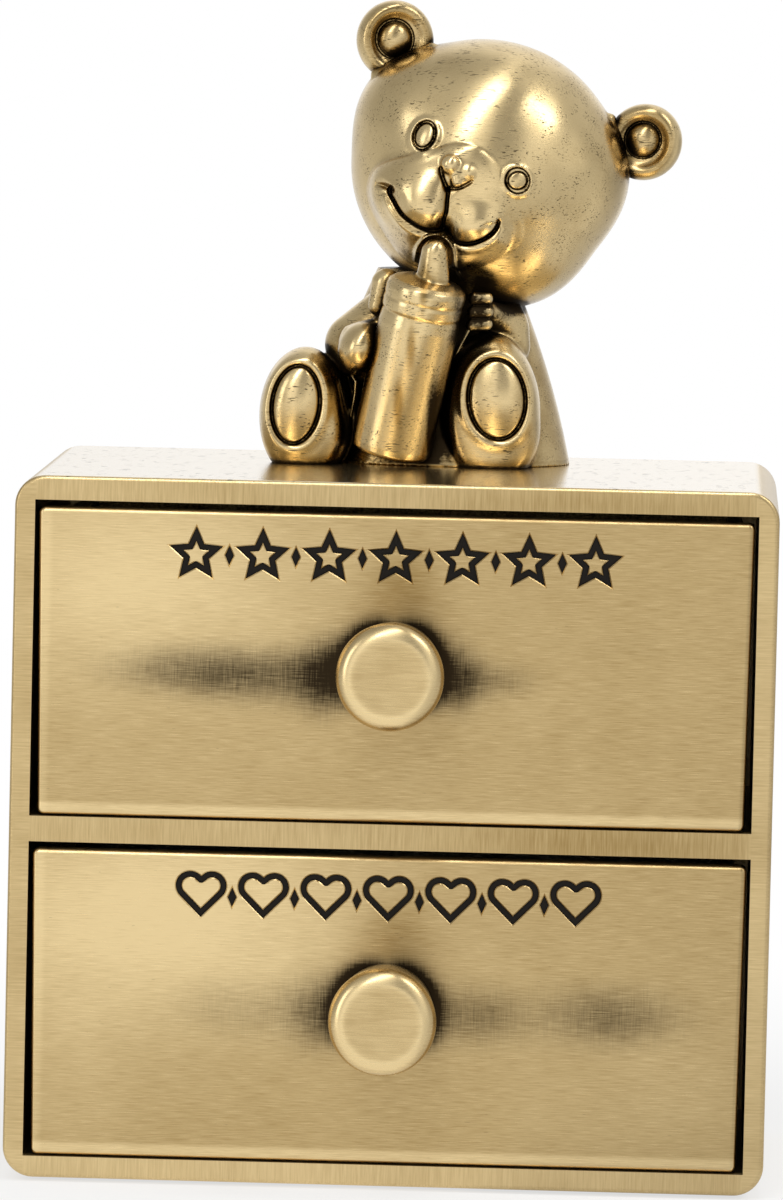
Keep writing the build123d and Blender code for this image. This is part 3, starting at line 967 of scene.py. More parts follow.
# Patches of patina and of painted shade, beside the hands, under the chin and down the bottle's right
# side, and less of them (negative): middle above the lid, half sizes, strength
BEAR_SHADE_AND_PATINA_SPOTS = [(7.3, 12.0, 1.1, 1.0, 0.6), (5.4, 12.3, 0.75, 2.4, 0.8), (3.6, 14.6, 0.6, 2.4, 0.4)]
BEAR_SHADE_AND_PATINA_SPOTS += [(1.9, 4, 0.6, 4.5, 0.7), (4.2, 10.3, 1.2, 0.8, 0.4), (3.1, 1.2, 0.7, 1.3, 0.4)]
BEAR_SHADE_AND_PATINA_SPOTS += [(8.8, 15.9, 3.0, 1.3, 0.3), (4.9, 16.9, 1.3, 0.4, 0.35), (5.6, 15.6, 1.2, 0.8, -0.3)]
BEAR_SHADE_AND_PATINA_SPOTS += [(3.7, 5.8, 0.8, 3.6, -0.45), (-5.7, 5, 0.8, 3.2, -0.35)]
# Painted shade down the right side of the bottle
BOTTLE_SHADE = ((3.85, 12.1), (3.4, 9.6), (2.9, 7.1), (2.45, 4.6), (2.05, 2.2))
BEAR_SHADE_AND_PATINA_SPOTS += [(x, z, 0.6, 1.8, 0.5) for x, z in BOTTLE_SHADE]
# Painted highlights on the bottle and on the pads, and a painted dark reflection band along the bottle
HIGHLIGHT_PATCHES = ((-0.95, 9.6), (-1.9, 4.9), (0.2, 13.8), (-8.6, 5.6), (7.4, 6))
BEAR_HIGHLIGHTS = [(x, z, 0.6, 2.6, 0.5) for x, z in HIGHLIGHT_PATCHES]
BEAR_HIGHLIGHTS += [(x, z, 0.5, 2.6, 0.7) for x, z in ((1.4, 9.6), (0.4, 4.9))]
BEAR_HIGHLIGHTS += [(x, z, 0.38, 2.4, -0.7) for x, z in ((0.23, 9.8), (-0.7, 5.2), (1.1, 14.0))]


def make_bear_brass():
    """Hand-relieved brass with patina in its hollows, patches of painted shade, painted highlights on the
    bottle and pads, and a painted golden reflection low down.
    """
    material, tree, place, finish = new_brass("bear_brass")
    wear = [tree.add("ShaderNodeAttribute", attribute_name=name).outputs["Fac"] for name in WEAR]
    groove, hollow, edge = wear
    strokes = tree.strokes(place, (0.9, 9, 9), (0, 0.42, 0))
    cloud = tree.noise(place, 0.3, 3.0)
    _, depth, height = tree.split(place)
    stroked = tree.swing(strokes, 0.5)
    grainy = tree.swing(tree.noise(place, 5.0, 3.0), 0.35)
    hairs = tree.most(
        tree.times(scratches(tree, place, (0, 0.9, 0.3), 0.38), 0.8),
        tree.times(scratches(tree, place, (0.4, -0.5, 0.2), 0.36), 0.7),
    )
    worn = tree.ramp(edge, 0.5, 0.95, 1.0, 0.15)
    in_front = tree.ramp(depth, 8.5, 7.5)
    # Patina and painted shade in patches, on the bear's front only
    spotted_shade_and_patina = tree.times(tree.spots(place, BEAR_SHADE_AND_PATINA_SPOTS, LID), in_front)
    # Painted highlights make the brass paler; the negative patches paint a dark reflection band
    painted_highlights = tree.times(tree.spots(place, BEAR_HIGHLIGHTS, LID), in_front)
    in_groove = tree.ramp(tree.plus(groove, stroked, grainy), 0.5, 1.0)
    in_hollow = tree.ramp(tree.plus(hollow, stroked, grainy, spotted_shade_and_patina), 0.46, 0.82)
    # The patches' patina and painted shade, broken by the strokes and grain
    shade_and_patina_in_spots = tree.ramp(tree.plus(spotted_shade_and_patina, stroked, grainy), 0.3, 0.75, 0.0, 0.85)
    patina_and_shade = tree.most(tree.times(tree.most(in_groove, in_hollow), worn), hairs, shade_and_patina_in_spots)
    # Painted golden reflection from the lid: deeper gold lower down
    lid_glow = tree.ramp(height, LID + 26, LID - 2, 0.0, 0.12)
    kept = tree.plus(tree.times(hollow, 0.85), tree.times(groove, 0.7))
    # Brass rubbed off where it stands out and kept in hollows, paler under the painted highlights
    wear_and_highlight = tree.minus(tree.math("MULTIPLY_ADD", edge, -0.5, kept), painted_highlights)
    share = tree.ramp(tree.plus(wear_and_highlight, lid_glow, stroked, tree.times(cloud, 0.7)), 0.2, 1.1)
    roughness = tree.ramp(strokes, 0.25, 0.75, finish.roughness - 0.1, finish.roughness - 0.02)
    roughness = tree.math("MULTIPLY_ADD", tree.most(patina_and_shade, spotted_shade_and_patina), 0.25, roughness)
    finish_brass(tree, share, patina_and_shade, roughness, strokes, (0.42, 0.0, 0.9), BEAR_GRAIN)
    return material


# What differs between the fronts: where their noise begins, and how deep their brass is
FRONT_NOISE = {"upper": 40, "lower": 90}
FRONT_DEPTH = {"upper": 0.63, "lower": 0.66}
# Patches placed from the knob, patina and painted shade beside it and painted reflections further out:
# middle and half sizes from the knob, and strength
PATINA_AND_SHADE_SPOTS = {
    "upper": ((-5.3, -0.8, 2.2, 3.6, 0.62), (-9.8, -0.7, 6.5, 2.5, 0.78), (-18, -0.4, 7, 2.3, 0.48))
    + ((5.2, -0.6, 1.7, 3.4, 0.58), (7.8, -0.7, 4, 1.8, 0.55), (18, 2.2, 6, 1.8, 0.2)),
    "lower": ((-11, -0.1, 7, 3.2, 0.42), (-5.4, -0.4, 2.6, 3.6, 0.46))
    + ((6.8, -0.3, 3.8, 3, 0.54), (17, 0, 7, 2.9, 0.73)),
}
# Painted reflections: paler patches on each front
REFLECTION_SPOTS = {
    "upper": ((-20, 6.5, 13, 8, 0.65), (-20, -8, 12, 3, 0.05)),
    "lower": ((-17, 7, 15, 8, 0.8), (-24, -4, 5, 9, 0.15), (20, -5, 10, 8, 0.17)),
}
# The knob's painted golden reflection on the plate above it: middle and half sizes from the knob, and
# strength
KNOB_REFLECTION_SPOT = (0.6, 6.2, 2.6, 2.4, 0.38)
KNOB_FOOT = 3.8


def make_front_brass(level, centre):
    """Brushed plate of a drawer front, with patina and painted shade beside its knob, patina in its sunk
    ornament, and painted reflections: paler patches, bright bands along two edges, and the knob's golden
    reflection.
    """
    material, tree, place, finish = new_brass(level + "_front_brass", centre)
    seeded = tree.stretch(place, shift=(0, 0, FRONT_NOISE[level]))
    along_x = tree.strokes(seeded, (0.5, 1, 14), (0, -0.04, 0), 0.65)
    across = tree.strokes(seeded, (9, 1, 0.45), (0, 0.05, 0))
    cloud = tree.noise(tree.stretch(seeded, (0.6, 1, 1)), 0.25, 3.0)
    x, y, z = tree.split(place)
    aside = tree.math("ABSOLUTE", x)
    out = tree.length(tree.stretch(place, (1, 0, 1)))
    # A ring of painted shadow round the knob's foot, stronger at its sides and fainter below it
    ring = tree.times(
        tree.math("EXPONENT", tree.times(tree.minus(out, KNOB_FOOT), -1.35)),
        tree.ramp(tree.math("DIVIDE", aside, out), -0.2, 0.75, 0.3, 1.5),
        tree.ramp(z, -4.5, -2.5, 0.25, 1.0),
    )
    # Patina and painted shade beside the knob
    dark = tree.plus(ring, tree.spots(place, PATINA_AND_SHADE_SPOTS[level]))
    scratched = tree.plus(along_x, tree.times(across, 0.9), tree.times(cloud, 0.5))
    hairs = tree.times(scratches(tree, seeded, (0, 0.5, 0), 0.27), 0.35)
    in_row = tree.times(tree.ramp(z, 5.0, 5.3), tree.ramp(z, 10.9, 10.6), tree.ramp(aside, 24.5, 24.0))
    sunk = tree.times(tree.ramp(y, 0.13, 0.2), in_row)
    patina_and_shade = tree.most(tree.ramp(tree.times(dark, scratched), 0.12, 1.5), hairs, sunk)
    # Painted reflections: paler patches, and bright bands along the bottom and left edges
    light = tree.plus(
        tree.spots(place, REFLECTION_SPOTS[level]),
        tree.ramp(z, -10.5, -11.0, 0.0, 0.52),
        tree.ramp(x, -25.9, -26.5, 0.0, 0.2),
    )
    # Painted reflection of the knob: deeper gold above it
    golden = tree.spot(place, *KNOB_REFLECTION_SPOT)
    lines, clouds = tree.minus(along_x, 0.5), tree.swing(cloud, 0.25)
    share = tree.plus(FRONT_DEPTH[level], lines, clouds, golden, tree.times(light, -0.9))
    roughness = tree.ramp(along_x, 0.3, 0.7, finish.roughness - 0.03, finish.roughness + 0.07)
    finish_brass(tree, tree.limited(share), patina_and_shade, roughness, along_x, (0, 0, 1))
    return material


# Painted shade on the case: deeper patches on the shelf, and on the rim above the upper bay
SHELF_SHADE, SHELF_HEIGHT = (17, 0, 13, 3, 0.35), 27
RIM_SHADE = (14, -1.3, 14, 1.6, 0.25)
# The side walls' rims begin this far from the middle
SIDE = 27.2


def make_case_brass():
    """Case plate: brushed across its rims, with a bright polished lid, painted dark reflections specking
    the lid, and painted light and shade on its rims and shelf.
    """
    material, tree, place, finish = new_brass("case_brass")
    x, y, z = tree.split(place)
    aside = tree.math("ABSOLUTE", x)
    along_x, along_z = tree.strokes(place, (0.35, 8, 8)), tree.strokes(place, (8, 8, 0.35))
    cloud = tree.noise(tree.stretch(place, (0.5, 0.5, 1)), 0.2, 3.0)
    strokes = tree.mix(tree.ramp(aside, SIDE, SIDE + 0.4), along_z, along_x)
    on_lid = tree.ramp(z, LID - 0.25, LID - 0.02)
    # Painted dark reflections specking the polished lid
    reflected_specks = tree.times(scratches(tree, tree.stretch(place, (1.5, 0.3, 1)), (0, 0, 0.05), 0.4), on_lid)
    inside = tree.times(
        tree.ramp(aside, SIDE + 0.4, SIDE + 0.1),
        tree.ramp(y, FRONT + 0.6, FRONT + 1.6),
        tree.ramp(y, -FRONT - 1, -FRONT - 1.6),
        tree.ramp(z, LID - 1, LID - 1.6),
    )
    # The dark colour: painted reflections on the lid, and darker inside the bays
    patina_and_shade = tree.most(tree.times(reflected_specks, 0.72), tree.times(inside, 0.85))
    # Painted light and shade: paler to the left, along the right side wall and towards the bottom, and
    # deeper on the shelf and the rim
    share = tree.plus(
        0.5,
        tree.swing(strokes, 0.8),
        tree.swing(cloud, 0.45),
        tree.ramp(x, -30, 30, -0.03, 0.0),
        tree.ramp(x, 26.6, 27.4, 0.0, -0.16),
        tree.ramp(z, 3.0, 1.8, 0.0, -0.16),
        tree.spots(place, [SHELF_SHADE], SHELF_HEIGHT),
        tree.spots(place, [RIM_SHADE], LID),
        tree.times(on_lid, -0.7),
    )
    brushed = tree.ramp(strokes, 0.3, 0.7, finish.roughness, finish.roughness + 0.08)
    roughness = tree.math("MULTIPLY_ADD", on_lid, -(finish.roughness - 0.14), brushed)
    relief = tree.times(strokes, tree.ramp(on_lid, 0, 1, 1.0, 0.15))
    finish_brass(tree, tree.limited(share), patina_and_shade, roughness, relief, (0.02, 0.3, 1), polished=on_lid)
    return material


# Radius of the paler ring on a knob's face: its rubbed edge, with a painted highlight
WORN_AND_LIT_RADIUS = 3.25


def make_turned_brass(level, centre):
    """Brass of a knob, brushed flat on its face, with a paler ring of rubbed wear and painted highlight,
    and darker towards its foot.
    """
    material, tree, place, finish = new_brass(level + "_knob_brass", centre)
    strokes = tree.strokes(place, (0.5, 1, 8), (0, -0.3, 0))
    y = tree.split(place)[1]
    foot = tree.times(tree.ramp(y, -5.5, -0.3), 0.75)
    patina_and_shade = tree.ramp(tree.plus(foot, tree.times(strokes, 0.5)), 0.45, 1.15)
    golden = tree.times(tree.ramp(y, -7.7, -6.0), 0.25)
    # A paler ring on the face: rubbed wear and a painted highlight
    out = tree.minus(tree.length(tree.stretch(place, (1, 0, 1))), WORN_AND_LIT_RADIUS)
    wear_and_highlight = tree.math("EXPONENT", tree.times(tree.math("POWER", out, 2.0), -6.0))
    clouds = tree.swing(tree.noise(place, 0.4, 2.0), 0.3)
    share = tree.plus(0.45, tree.swing(strokes, 0.5), golden, tree.times(wear_and_highlight, -0.6), clouds)
    roughness = tree.ramp(strokes, 0.3, 0.7, finish.roughness - 0.06, finish.roughness + 0.02)
    finish_brass(tree, tree.limited(share), patina_and_shade, roughness, strokes, (0, 0, 1))
    return material


def make_tray_brass(level):
    """Tray plate, left duller and darker than what shows."""
    material, tree, place, finish = new_brass(level + "_tray_brass")
    strokes = tree.strokes(place, (5, 0.4, 5))
    cloud = tree.noise(place, 0.3, 4.0)
    patina_and_shade = tree.ramp(tree.plus(tree.times(cloud, 0.5), tree.times(strokes, 0.7)), 0.5, 0.9, 0.05, 0.4)
    share = tree.ramp(strokes, 0.2, 0.8, 0.55, 1.0)
    roughness = tree.ramp(cloud, 0.3, 0.7, finish.roughness + 0.05, finish.roughness + 0.15)
    finish_brass(tree, share, patina_and_shade, roughness, strokes, (0, 1, 0.1))
    return material


def dimmed(colour, share):
    """A colour times a share."""
    return tuple(channel * share for channel in colour[:3]) + (1,)


def make_plain(name, colour, vary, scale, roughness, depth, drawn_out=(1, 1, 1), also=None):
    """A fabric, enamel or steel: a colour with its variation, its grain and its roughness."""
    material, tree = new_material(name)
    place = in_millimetres(tree)
    grain = tree.noise(tree.stretch(place, drawn_out), scale, 4.0, 0.65)
    cloud = tree.noise(place, 0.35, 3.0)
    tone = tree.plus(tree.times(grain, 0.65), tree.times(cloud, 0.35))
    inputs = {
        "Base Color": tree.mix(tree.ramp(tone, 0.3, 0.7), dimmed(colour, 1 - vary), colour),
        "Roughness": tree.ramp(grain, 0.3, 0.7, roughness - 0.08, roughness + 0.05),
        "Normal": tree.bump(grain, depth * MM),
        **(also or {}),
    }
    tree.end(tree.add("ShaderNodeBsdfPrincipled", inputs))
    return material


# ---------------- rows of motifs

# Rows of stars and hearts, as the recesses that they fill: count and pitch, then a star's radius and the
# share of it that its inner corners reach, or the radius of a heart's lobes
STAR_ROW = (7, 5.05, 2.35, 0.47)
HEART_ROW = (7, 4.75, 1.18)
# Width of the sunk line, half sizes of a diamond, and how far the row lies below the top of its front
MOTIF_LINE = 0.62
DIAMOND = (0.42, 0.95)
ROW_BELOW_TOP = 3.35
# Play round the fill, how far it rises across its line, and width of the bright edge
FILL_PLAY = 0.03
FILL_RISE = (0.0, 0.035, 0.045, 0.035, 0.0)
LIP = 0.075


def ring_faces(count, pairs):
    """Faces between rings of so many corners, by the numbers of the rings."""
    faces = []
    for a, b in pairs:
        for i in range(count):
            j = (i + 1) % count
            faces.append((a * count + i, a * count + j, b * count + j, b * count + i))
    return faces


def moved_in(outline, distance):
    """A closed outline with every side moved inwards by a distance."""
    before, after = np.roll(outline, 1, axis=0), np.roll(outline, -1, axis=0)

    def inward(a, b):
        along_side = (b - a) / np.linalg.norm(b - a, axis=1, keepdims=True)
        return np.stack([-along_side[:, 1], along_side[:, 0]], 1)

    first, second = inward(before, outline), inward(outline, after)
    middle = first + second
    return outline + middle * distance * 2 / np.maximum((middle**2).sum(1, keepdims=True), 0.5)


def star_outline():
    """Corners of a star, from its tip round to the left."""
    _, _, radius, waist = STAR_ROW
    steps = np.arange(10)
    reach = np.where(steps % 2 == 0, radius, radius * waist)
    angle = math.pi / 2 + steps * math.pi / 5
    return np.stack([reach * np.cos(angle), reach * np.sin(angle)], 1)


def heart_outline():
    """Corners of a heart, from the notch down its right side and round."""
    radius = HEART_ROW[2]
    lobe = radius * math.cos(math.pi / 4)
    left = [math.radians(a) for a in range(45, 226, 9)]
    right = [math.radians(a) for a in range(-45, 136, 9)]
    points = [(lobe + radius * math.cos(a), lobe + radius * math.sin(a)) for a in right[:-1]]
    points += [(-lobe + radius * math.cos(a), lobe + radius * math.sin(a)) for a in left]
    return np.array(points + [(0, -2 * lobe)])


def band_mesh(name, outline):
    """A closed band inside an outline, a little raised along its middle."""
    steps = (FILL_PLAY, MOTIF_LINE * 0.3, MOTIF_LINE * 0.5, MOTIF_LINE * 0.7, MOTIF_LINE - FILL_PLAY)
    rings = [moved_in(outline, step) for step in steps]
    corners = [(p[0], -rise, p[1]) for ring, rise in zip(rings, FILL_RISE) for p in ring]
    corners += [(p[0], 0.1, p[1]) for ring in (rings[-1], rings[0]) for p in ring]
    rows = len(steps) + 2
    pairs = [(row, (row + 1) % rows) for row in range(rows)]
    return mesh_from(name, corners, ring_faces(len(outline), pairs))


def lip_mesh(name, outline, line, depth):
    """Bright slanting edges of a recess: a thin wedge along its outline, and along its inner one."""
    corners = []
    sides = ((0.004, 1), (line - 0.004, -1))[: 2 if line else 1]
    for start, into in sides:
        for step, down in ((0, 0.002), (LIP, LIP), (0, LIP)):
            corners += [(p[0], down - depth, p[1]) for p in moved_in(outline, start + into * step)]
    starts = range(0, 3 * len(sides), 3)
    pairs = [(first + row, first + (row + 1) % 3) for first in starts for row in range(3)]
    return mesh_from(name, corners, ring_faces(len(outline), pairs))


def diamond_outline():
    half_x, half_z = DIAMOND
    return np.array([(half_x, 0), (0, half_z), (-half_x, 0), (0, -half_z)], float)


def diamond_mesh(name):
    """The fill of a diamond, with a low peak."""
    half_x, half_z = (side - FILL_PLAY for side in DIAMOND)
    rim = [(-half_x, 0), (0, -half_z), (half_x, 0), (0, half_z)]
    corners = [(x, 0, z) for x, z in rim] + [(x, 0.1, z) for x, z in rim] + [(0, -0.04, 0)]
    faces = [(i, (i + 1) % 4, 8) for i in range(4)]
    faces += [(i, i + 4, (i + 1) % 4 + 4, (i + 1) % 4) for i in range(4)]
    return mesh_from(name, corners, faces + [(7, 6, 5, 4)])


def row_tree():
    """A node group that repeats a motif along a line and gives it its material."""
    group = bpy.data.node_groups.new("motif_row", "GeometryNodeTree")
    for name, kind in (
        ("Motif", "NodeSocketGeometry"),
        ("Count", "NodeSocketInt"),
        ("First", "NodeSocketVector"),
        ("Step", "NodeSocketVector"),
        ("Material", "NodeSocketMaterial"),
    ):
        group.interface.new_socket(name=name, in_out="INPUT", socket_type=kind)
    group.interface.new_socket(name="Row", in_out="OUTPUT", socket_type="NodeSocketGeometry")
    tree = Tree(group)
    given = tree.add("NodeGroupInput").outputs
    line = {"Count": given["Count"], "Start Location": given["First"], "Offset": given["Step"]}
    points = tree.add("GeometryNodeMeshLine", line).outputs[0]
    motifs = {"Points": points, "Instance": given["Motif"]}
    placed = tree.add("GeometryNodeInstanceOnPoints", motifs).outputs[0]
    real = tree.add("GeometryNodeRealizeInstances", {0: placed}).outputs[0]
    dressed = {"Geometry": real, "Material": given["Material"]}
    tree.add("NodeGroupOutput", {"Row": tree.add("GeometryNodeSetMaterial", dressed).outputs[0]})
    return group


def repeated(group, mesh, count, first, step, material):
    """The plain mesh of a motif repeated along a row."""
    source = in_scene(mesh.name, mesh)
    modifier = source.modifiers.new("row", "NODES")
    modifier.node_group = group
    sockets = {item.name: item.identifier for item in group.interface.items_tree if item.in_out == "INPUT"}
    modifier[sockets["Count"]] = count
    modifier[sockets["First"]] = [value * MM for value in first]
    modifier[sockets["Step"]] = [step * MM, 0.0, 0.0]
    modifier[sockets["Material"]] = material
    source.update_tag()
    return plain_mesh(source)


# ---------------- operators


def bear_step(context, part):
    return getattr(context.scene.tooth_box_bear, part + "_step") / MM * 1


class TOOTHBOX_OT_bear_head(bpy.types.Operator):
    """Sculpts the bear's head with its face"""

    bl_idname = "toothbox.bear_head"
    bl_label = "Bear's head"

    def execute(self, context):
        size = (-6, -2.6, 11.5), (18, 20.6, 34.4)
        sculpted("bear_head", head_field, *size, bear_step(context, "head"), near_face)
        return {"FINISHED"}


class TOOTHBOX_OT_bear_ears(bpy.types.Operator):
    """Sculpts the bear's two ears"""

    bl_idname = "toothbox.bear_ears"
    bl_label = "Bear's ears"

    def execute(self, context):
        for node, ear in EARS.items():

            def field(points, ear=ear):
                return ear_field(points, *ear)

            middle, reach = np.asarray(ear[0]), ear[1] + 0.4
            sculpted(node, field, middle - reach, middle + reach, bear_step(context, "ear"))
        return {"FINISHED"}


class TOOTHBOX_OT_bear_body(bpy.types.Operator):
    """Sculpts the bear's seated body with arms and feet"""

    bl_idname = "toothbox.bear_body"
    bl_label = "Bear's body"

    def execute(self, context):
        size = (-12.6, -0.5, -0.6), (13.6, 19.4, 16.4)
        sculpted("bear_body", body_field, *size, bear_step(context, "body"), near_relief)
        return {"FINISHED"}


class TOOTHBOX_OT_bear_bottle(bpy.types.Operator):
    """Sculpts the feeding bottle"""

    bl_idname = "toothbox.bear_bottle"
    bl_label = "Bottle"

    def execute(self, context):
        size = (-5.2, -3.2, 0.0), (4.9, 6.2, 18.4)
        sculpted("bear_bottle", bottle_field, *size, bear_step(context, "ear") * 1.25)
        return {"FINISHED"}


class TOOTHBOX_OT_case(bpy.types.Operator):
    """Finishes the case and its back panel"""

    bl_idname = "toothbox.case"
    bl_label = "Case"

    def execute(self, context):
        material = make_case_brass()
        for node in ("case", "back_panel"):
            paint(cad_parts[node], material)
        return {"FINISHED"}


def knob_centre(level):
    """Middle of a knob's foot, on the face of its drawer front."""
    low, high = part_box(level + "_knob")
    return ((low.x + high.x) / 2 / MM, FRONT, (low.z + high.z) / 2 / MM)


def front_brass(level):
    """The brass of a drawer front, which the bright edges of its ornament share."""
    return shared(level, lambda: make_front_brass(level, knob_centre(level)))


class TOOTHBOX_OT_fronts(bpy.types.Operator):
    """Finishes the drawer fronts and trays"""

    bl_idname = "toothbox.fronts"
    bl_label = "Fronts and trays"

    def execute(self, context):
        for level in LEVELS:
            paint(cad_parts[level + "_drawer_front"], front_brass(level))
            paint(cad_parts[level + "_drawer_tray"], make_tray_brass(level))
        return {"FINISHED"}


class TOOTHBOX_OT_fill(bpy.types.Operator):
    """Fills the sunk ornament of the fronts with black"""

    bl_idname = "toothbox.fill"
    bl_label = "Ornament fill"

    def execute(self, context):
        group = row_tree()
        depth = context.scene.tooth_box_drawer.fill_depth / MM
        colour = dimmed(context.scene.tooth_box_finish.patina_and_shade, 0.35)
        black = make_plain("black_fill", colour, 0.6, 3.0, 0.6, 0.03, also={"Specular IOR Level": 0.2})
        for level in LEVELS:
            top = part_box(level + "_drawer_front")[1].z / MM
            star = level == "upper"
            outline = star_outline() if star else heart_outline()
            line = (STAR_ROW if star else HEART_ROW)[:2]
            place = (FRONT + depth, top - ROW_BELOW_TOP)
            name = level + "_ornament_fill"
            motifs = band_mesh(name, outline), diamond_mesh(name + "_diamonds")
            self.row(name, group, motifs, line, place, level, black)
            name = level + "_ornament_edge"
            motifs = (
                lip_mesh(name, outline, MOTIF_LINE, depth),
                lip_mesh(name + "_diamonds", diamond_outline(), 0, depth),
            )
            self.row(name, group, motifs, line, place, level, front_brass(level))
        return {"FINISHED"}

    def row(self, name, group, motifs, line, place, level, material):
        """One object from a row of motifs with diamonds between them."""
        count, pitch = line
        whole = bmesh.new()
        for mesh, number in zip(motifs, (count, count - 1)):
            first = (-pitch * (number - 1) / 2, *place)
            whole.from_mesh(repeated(group, mesh, number, first, pitch, material))
        bmesh.ops.recalc_face_normals(whole, faces=whole.faces)
        joined = bpy.data.meshes.new(name)
        whole.to_mesh(joined)
        whole.free()
        paint(link(name, joined, level + "_drawer", smooth=False), material)


# Radius of the edge of a knob's face, share of the widest radius at the foot, and corners all round
KNOB_EDGE = 1.25
KNOB_WAIST = 0.89
KNOB_AROUND = 144


class TOOTHBOX_OT_knobs(bpy.types.Operator):
    """Turns the two knobs"""

    bl_idname = "toothbox.knobs"
    bl_label = "Knobs"

    def execute(self, context):
        dish = context.scene.tooth_box_drawer.knob_dish / MM
        for level in LEVELS:
            node = level + "_knob"
            low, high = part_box(node)
            length, widest = (high.y - low.y) / MM, (high.x - low.x) / 2 / MM
            waist, flat = widest * KNOB_WAIST, widest - KNOB_EDGE
            start = length - KNOB_EDGE
            profile = [(0, 0.02), (waist - 0.15, 0.02), (waist, 0.12), (waist, 0.3), (widest, start)]
            for angle in np.arange(1, 16) / 16 * math.pi / 2:
                profile.append((flat + KNOB_EDGE * math.cos(angle), start + KNOB_EDGE * math.sin(angle)))
            for left in (0.98, 0.85, 0.7, 0.5, 0.25):
                profile.append((flat * left, length - dish * (1 - left**2)))
            profile.append((0, length - dish))
            centre = knob_centre(level)
            corners, faces = turned(finer(profile, 0.4), centre, (0, -1, 0), KNOB_AROUND)
            mesh = mesh_from(node + "_turned", corners, faces)
            made = link(node + "_turned", mesh, level + "_drawer", [node])
            paint(made, make_turned_brass(level, centre))
        return {"FINISHED"}


class TOOTHBOX_OT_fabrics(bpy.types.Operator):
    """Lines the drawers with velvet and lays felt under the case"""

    bl_idname = "toothbox.fabrics"
    bl_label = "Velvet and felt"

    def execute(self, context):
        drawer = context.scene.tooth_box_drawer
        velvet = make_plain("velvet", drawer.lining, 0.3, 2.6, 0.92, 0.12, also={"Sheen Weight": 0.7})
        felt = make_plain("felt", drawer.felt, 0.5, 2.2, 0.95, 0.15, also={"Sheen Weight": 0.3})
        coarse = 1
        for level in LEVELS:
            name, body = level + "_lining_velvet", level + "_drawer"
            paint(fabric(name, body + "_lining", body, 0.34 * coarse, 0.1), velvet)
        paint(fabric("base_felt_cloth", "base_felt", "case", 0.3 * coarse, 0.04), felt)
        return {"FINISHED"}


STEEL = (0.52, 0.52, 0.5, 1)


class TOOTHBOX_OT_screws(bpy.types.Operator):
    """Finishes the screws and washers"""

    bl_idname = "toothbox.screws"
    bl_label = "Screws and washers"

    def execute(self, context):
        steel = make_plain("screw_steel", STEEL, 0.35, 2.5, 0.32, 0.01, (4, 0.4, 4), {"Metallic": 1.0})
        of_knobs = [f"{level}_knob_{piece}" for level in LEVELS for piece in ("screw", "washer")]
        for node in ("bear_screws", *of_knobs):
            paint(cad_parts[node], steel)
        return {"FINISHED"}


# Lamps: place, aim, width, height, how far the lamp leans to the right in degrees, and brightness
LAMPS = (
    ("left_strip", (-0.05, -0.48, 0.86), (-0.01, 0, 0.08), 0.19, 1.1, 23.5, 3.4),
    ("right_box", (0.6, -0.22, 0.78), (0, 0, 0.08), 0.26, 0.4, -10, 4.0),
    ("left_fill", (-0.75, -0.5, 0.27), (0, 0, 0.06), 0.3, 0.6, 0, 1.7),
)
# What metal sees all round, by how far to the right of the camera's side it looks, in degrees
SURROUND = ((-180, 1), (-155, 0.95), (-130, 0.55), (-90, 0.42), (-50, 0.5), (-32, 0.68), (-22, 1))
SURROUND += ((-5, 1), (2, 0.55), (9, 0.38), (22, 0.4), (36, 0.82), (60, 0.82), (80, 0.55), (105, 0.6))
SURROUND += ((138, 0.62), (163, 0.95), (180, 1))
# What metal sees on the floor near the box, and far away, by the same measure
NEAR_FLOOR = ((-180, 1), (-110, 0.7), (-85, 0.6), (-60, 0.85), (-28, 1), (10, 1), (24, 0.7), (45, 0.6))
NEAR_FLOOR += ((80, 0.65), (100, 0.7), (130, 0.55), (180, 1))
FAR_FLOOR = ((-180, 1), (-100, 0.6), (-65, 0.65), (-38, 0.85), (-14, 1), (20, 1), (42, 0.75), (65, 0.6))
FAR_FLOOR += ((95, 0.6), (131, 0.4), (160, 0.8), (180, 1))
# Where the near floor gives way to the far one, and where the box's shade on it has faded, in metres
NEAR_TO_FAR = (0.2, 0.38)
SHADE_REACH = (0.03, 0.16)
# Heights of a look between which the floor gives way to what stands round it
HORIZON = (0.03, 0.16)
WHITE = (1, 1, 1, 1)
FLOOR_GREY = (0.9, 0.9, 0.9, 1)
# How far that surround leans to the right and backwards, in degrees
LEAN, BACKWARDS = 12, 20
# The camera's place in millimetres, then its turn to the side, upwards and clockwise, in radians
CAMERA_PLACE = (22.9148, -706.1878, 96.3519)
CAMERA_TURN = (-0.0337534687, -0.0744795676, 0.0225095379)


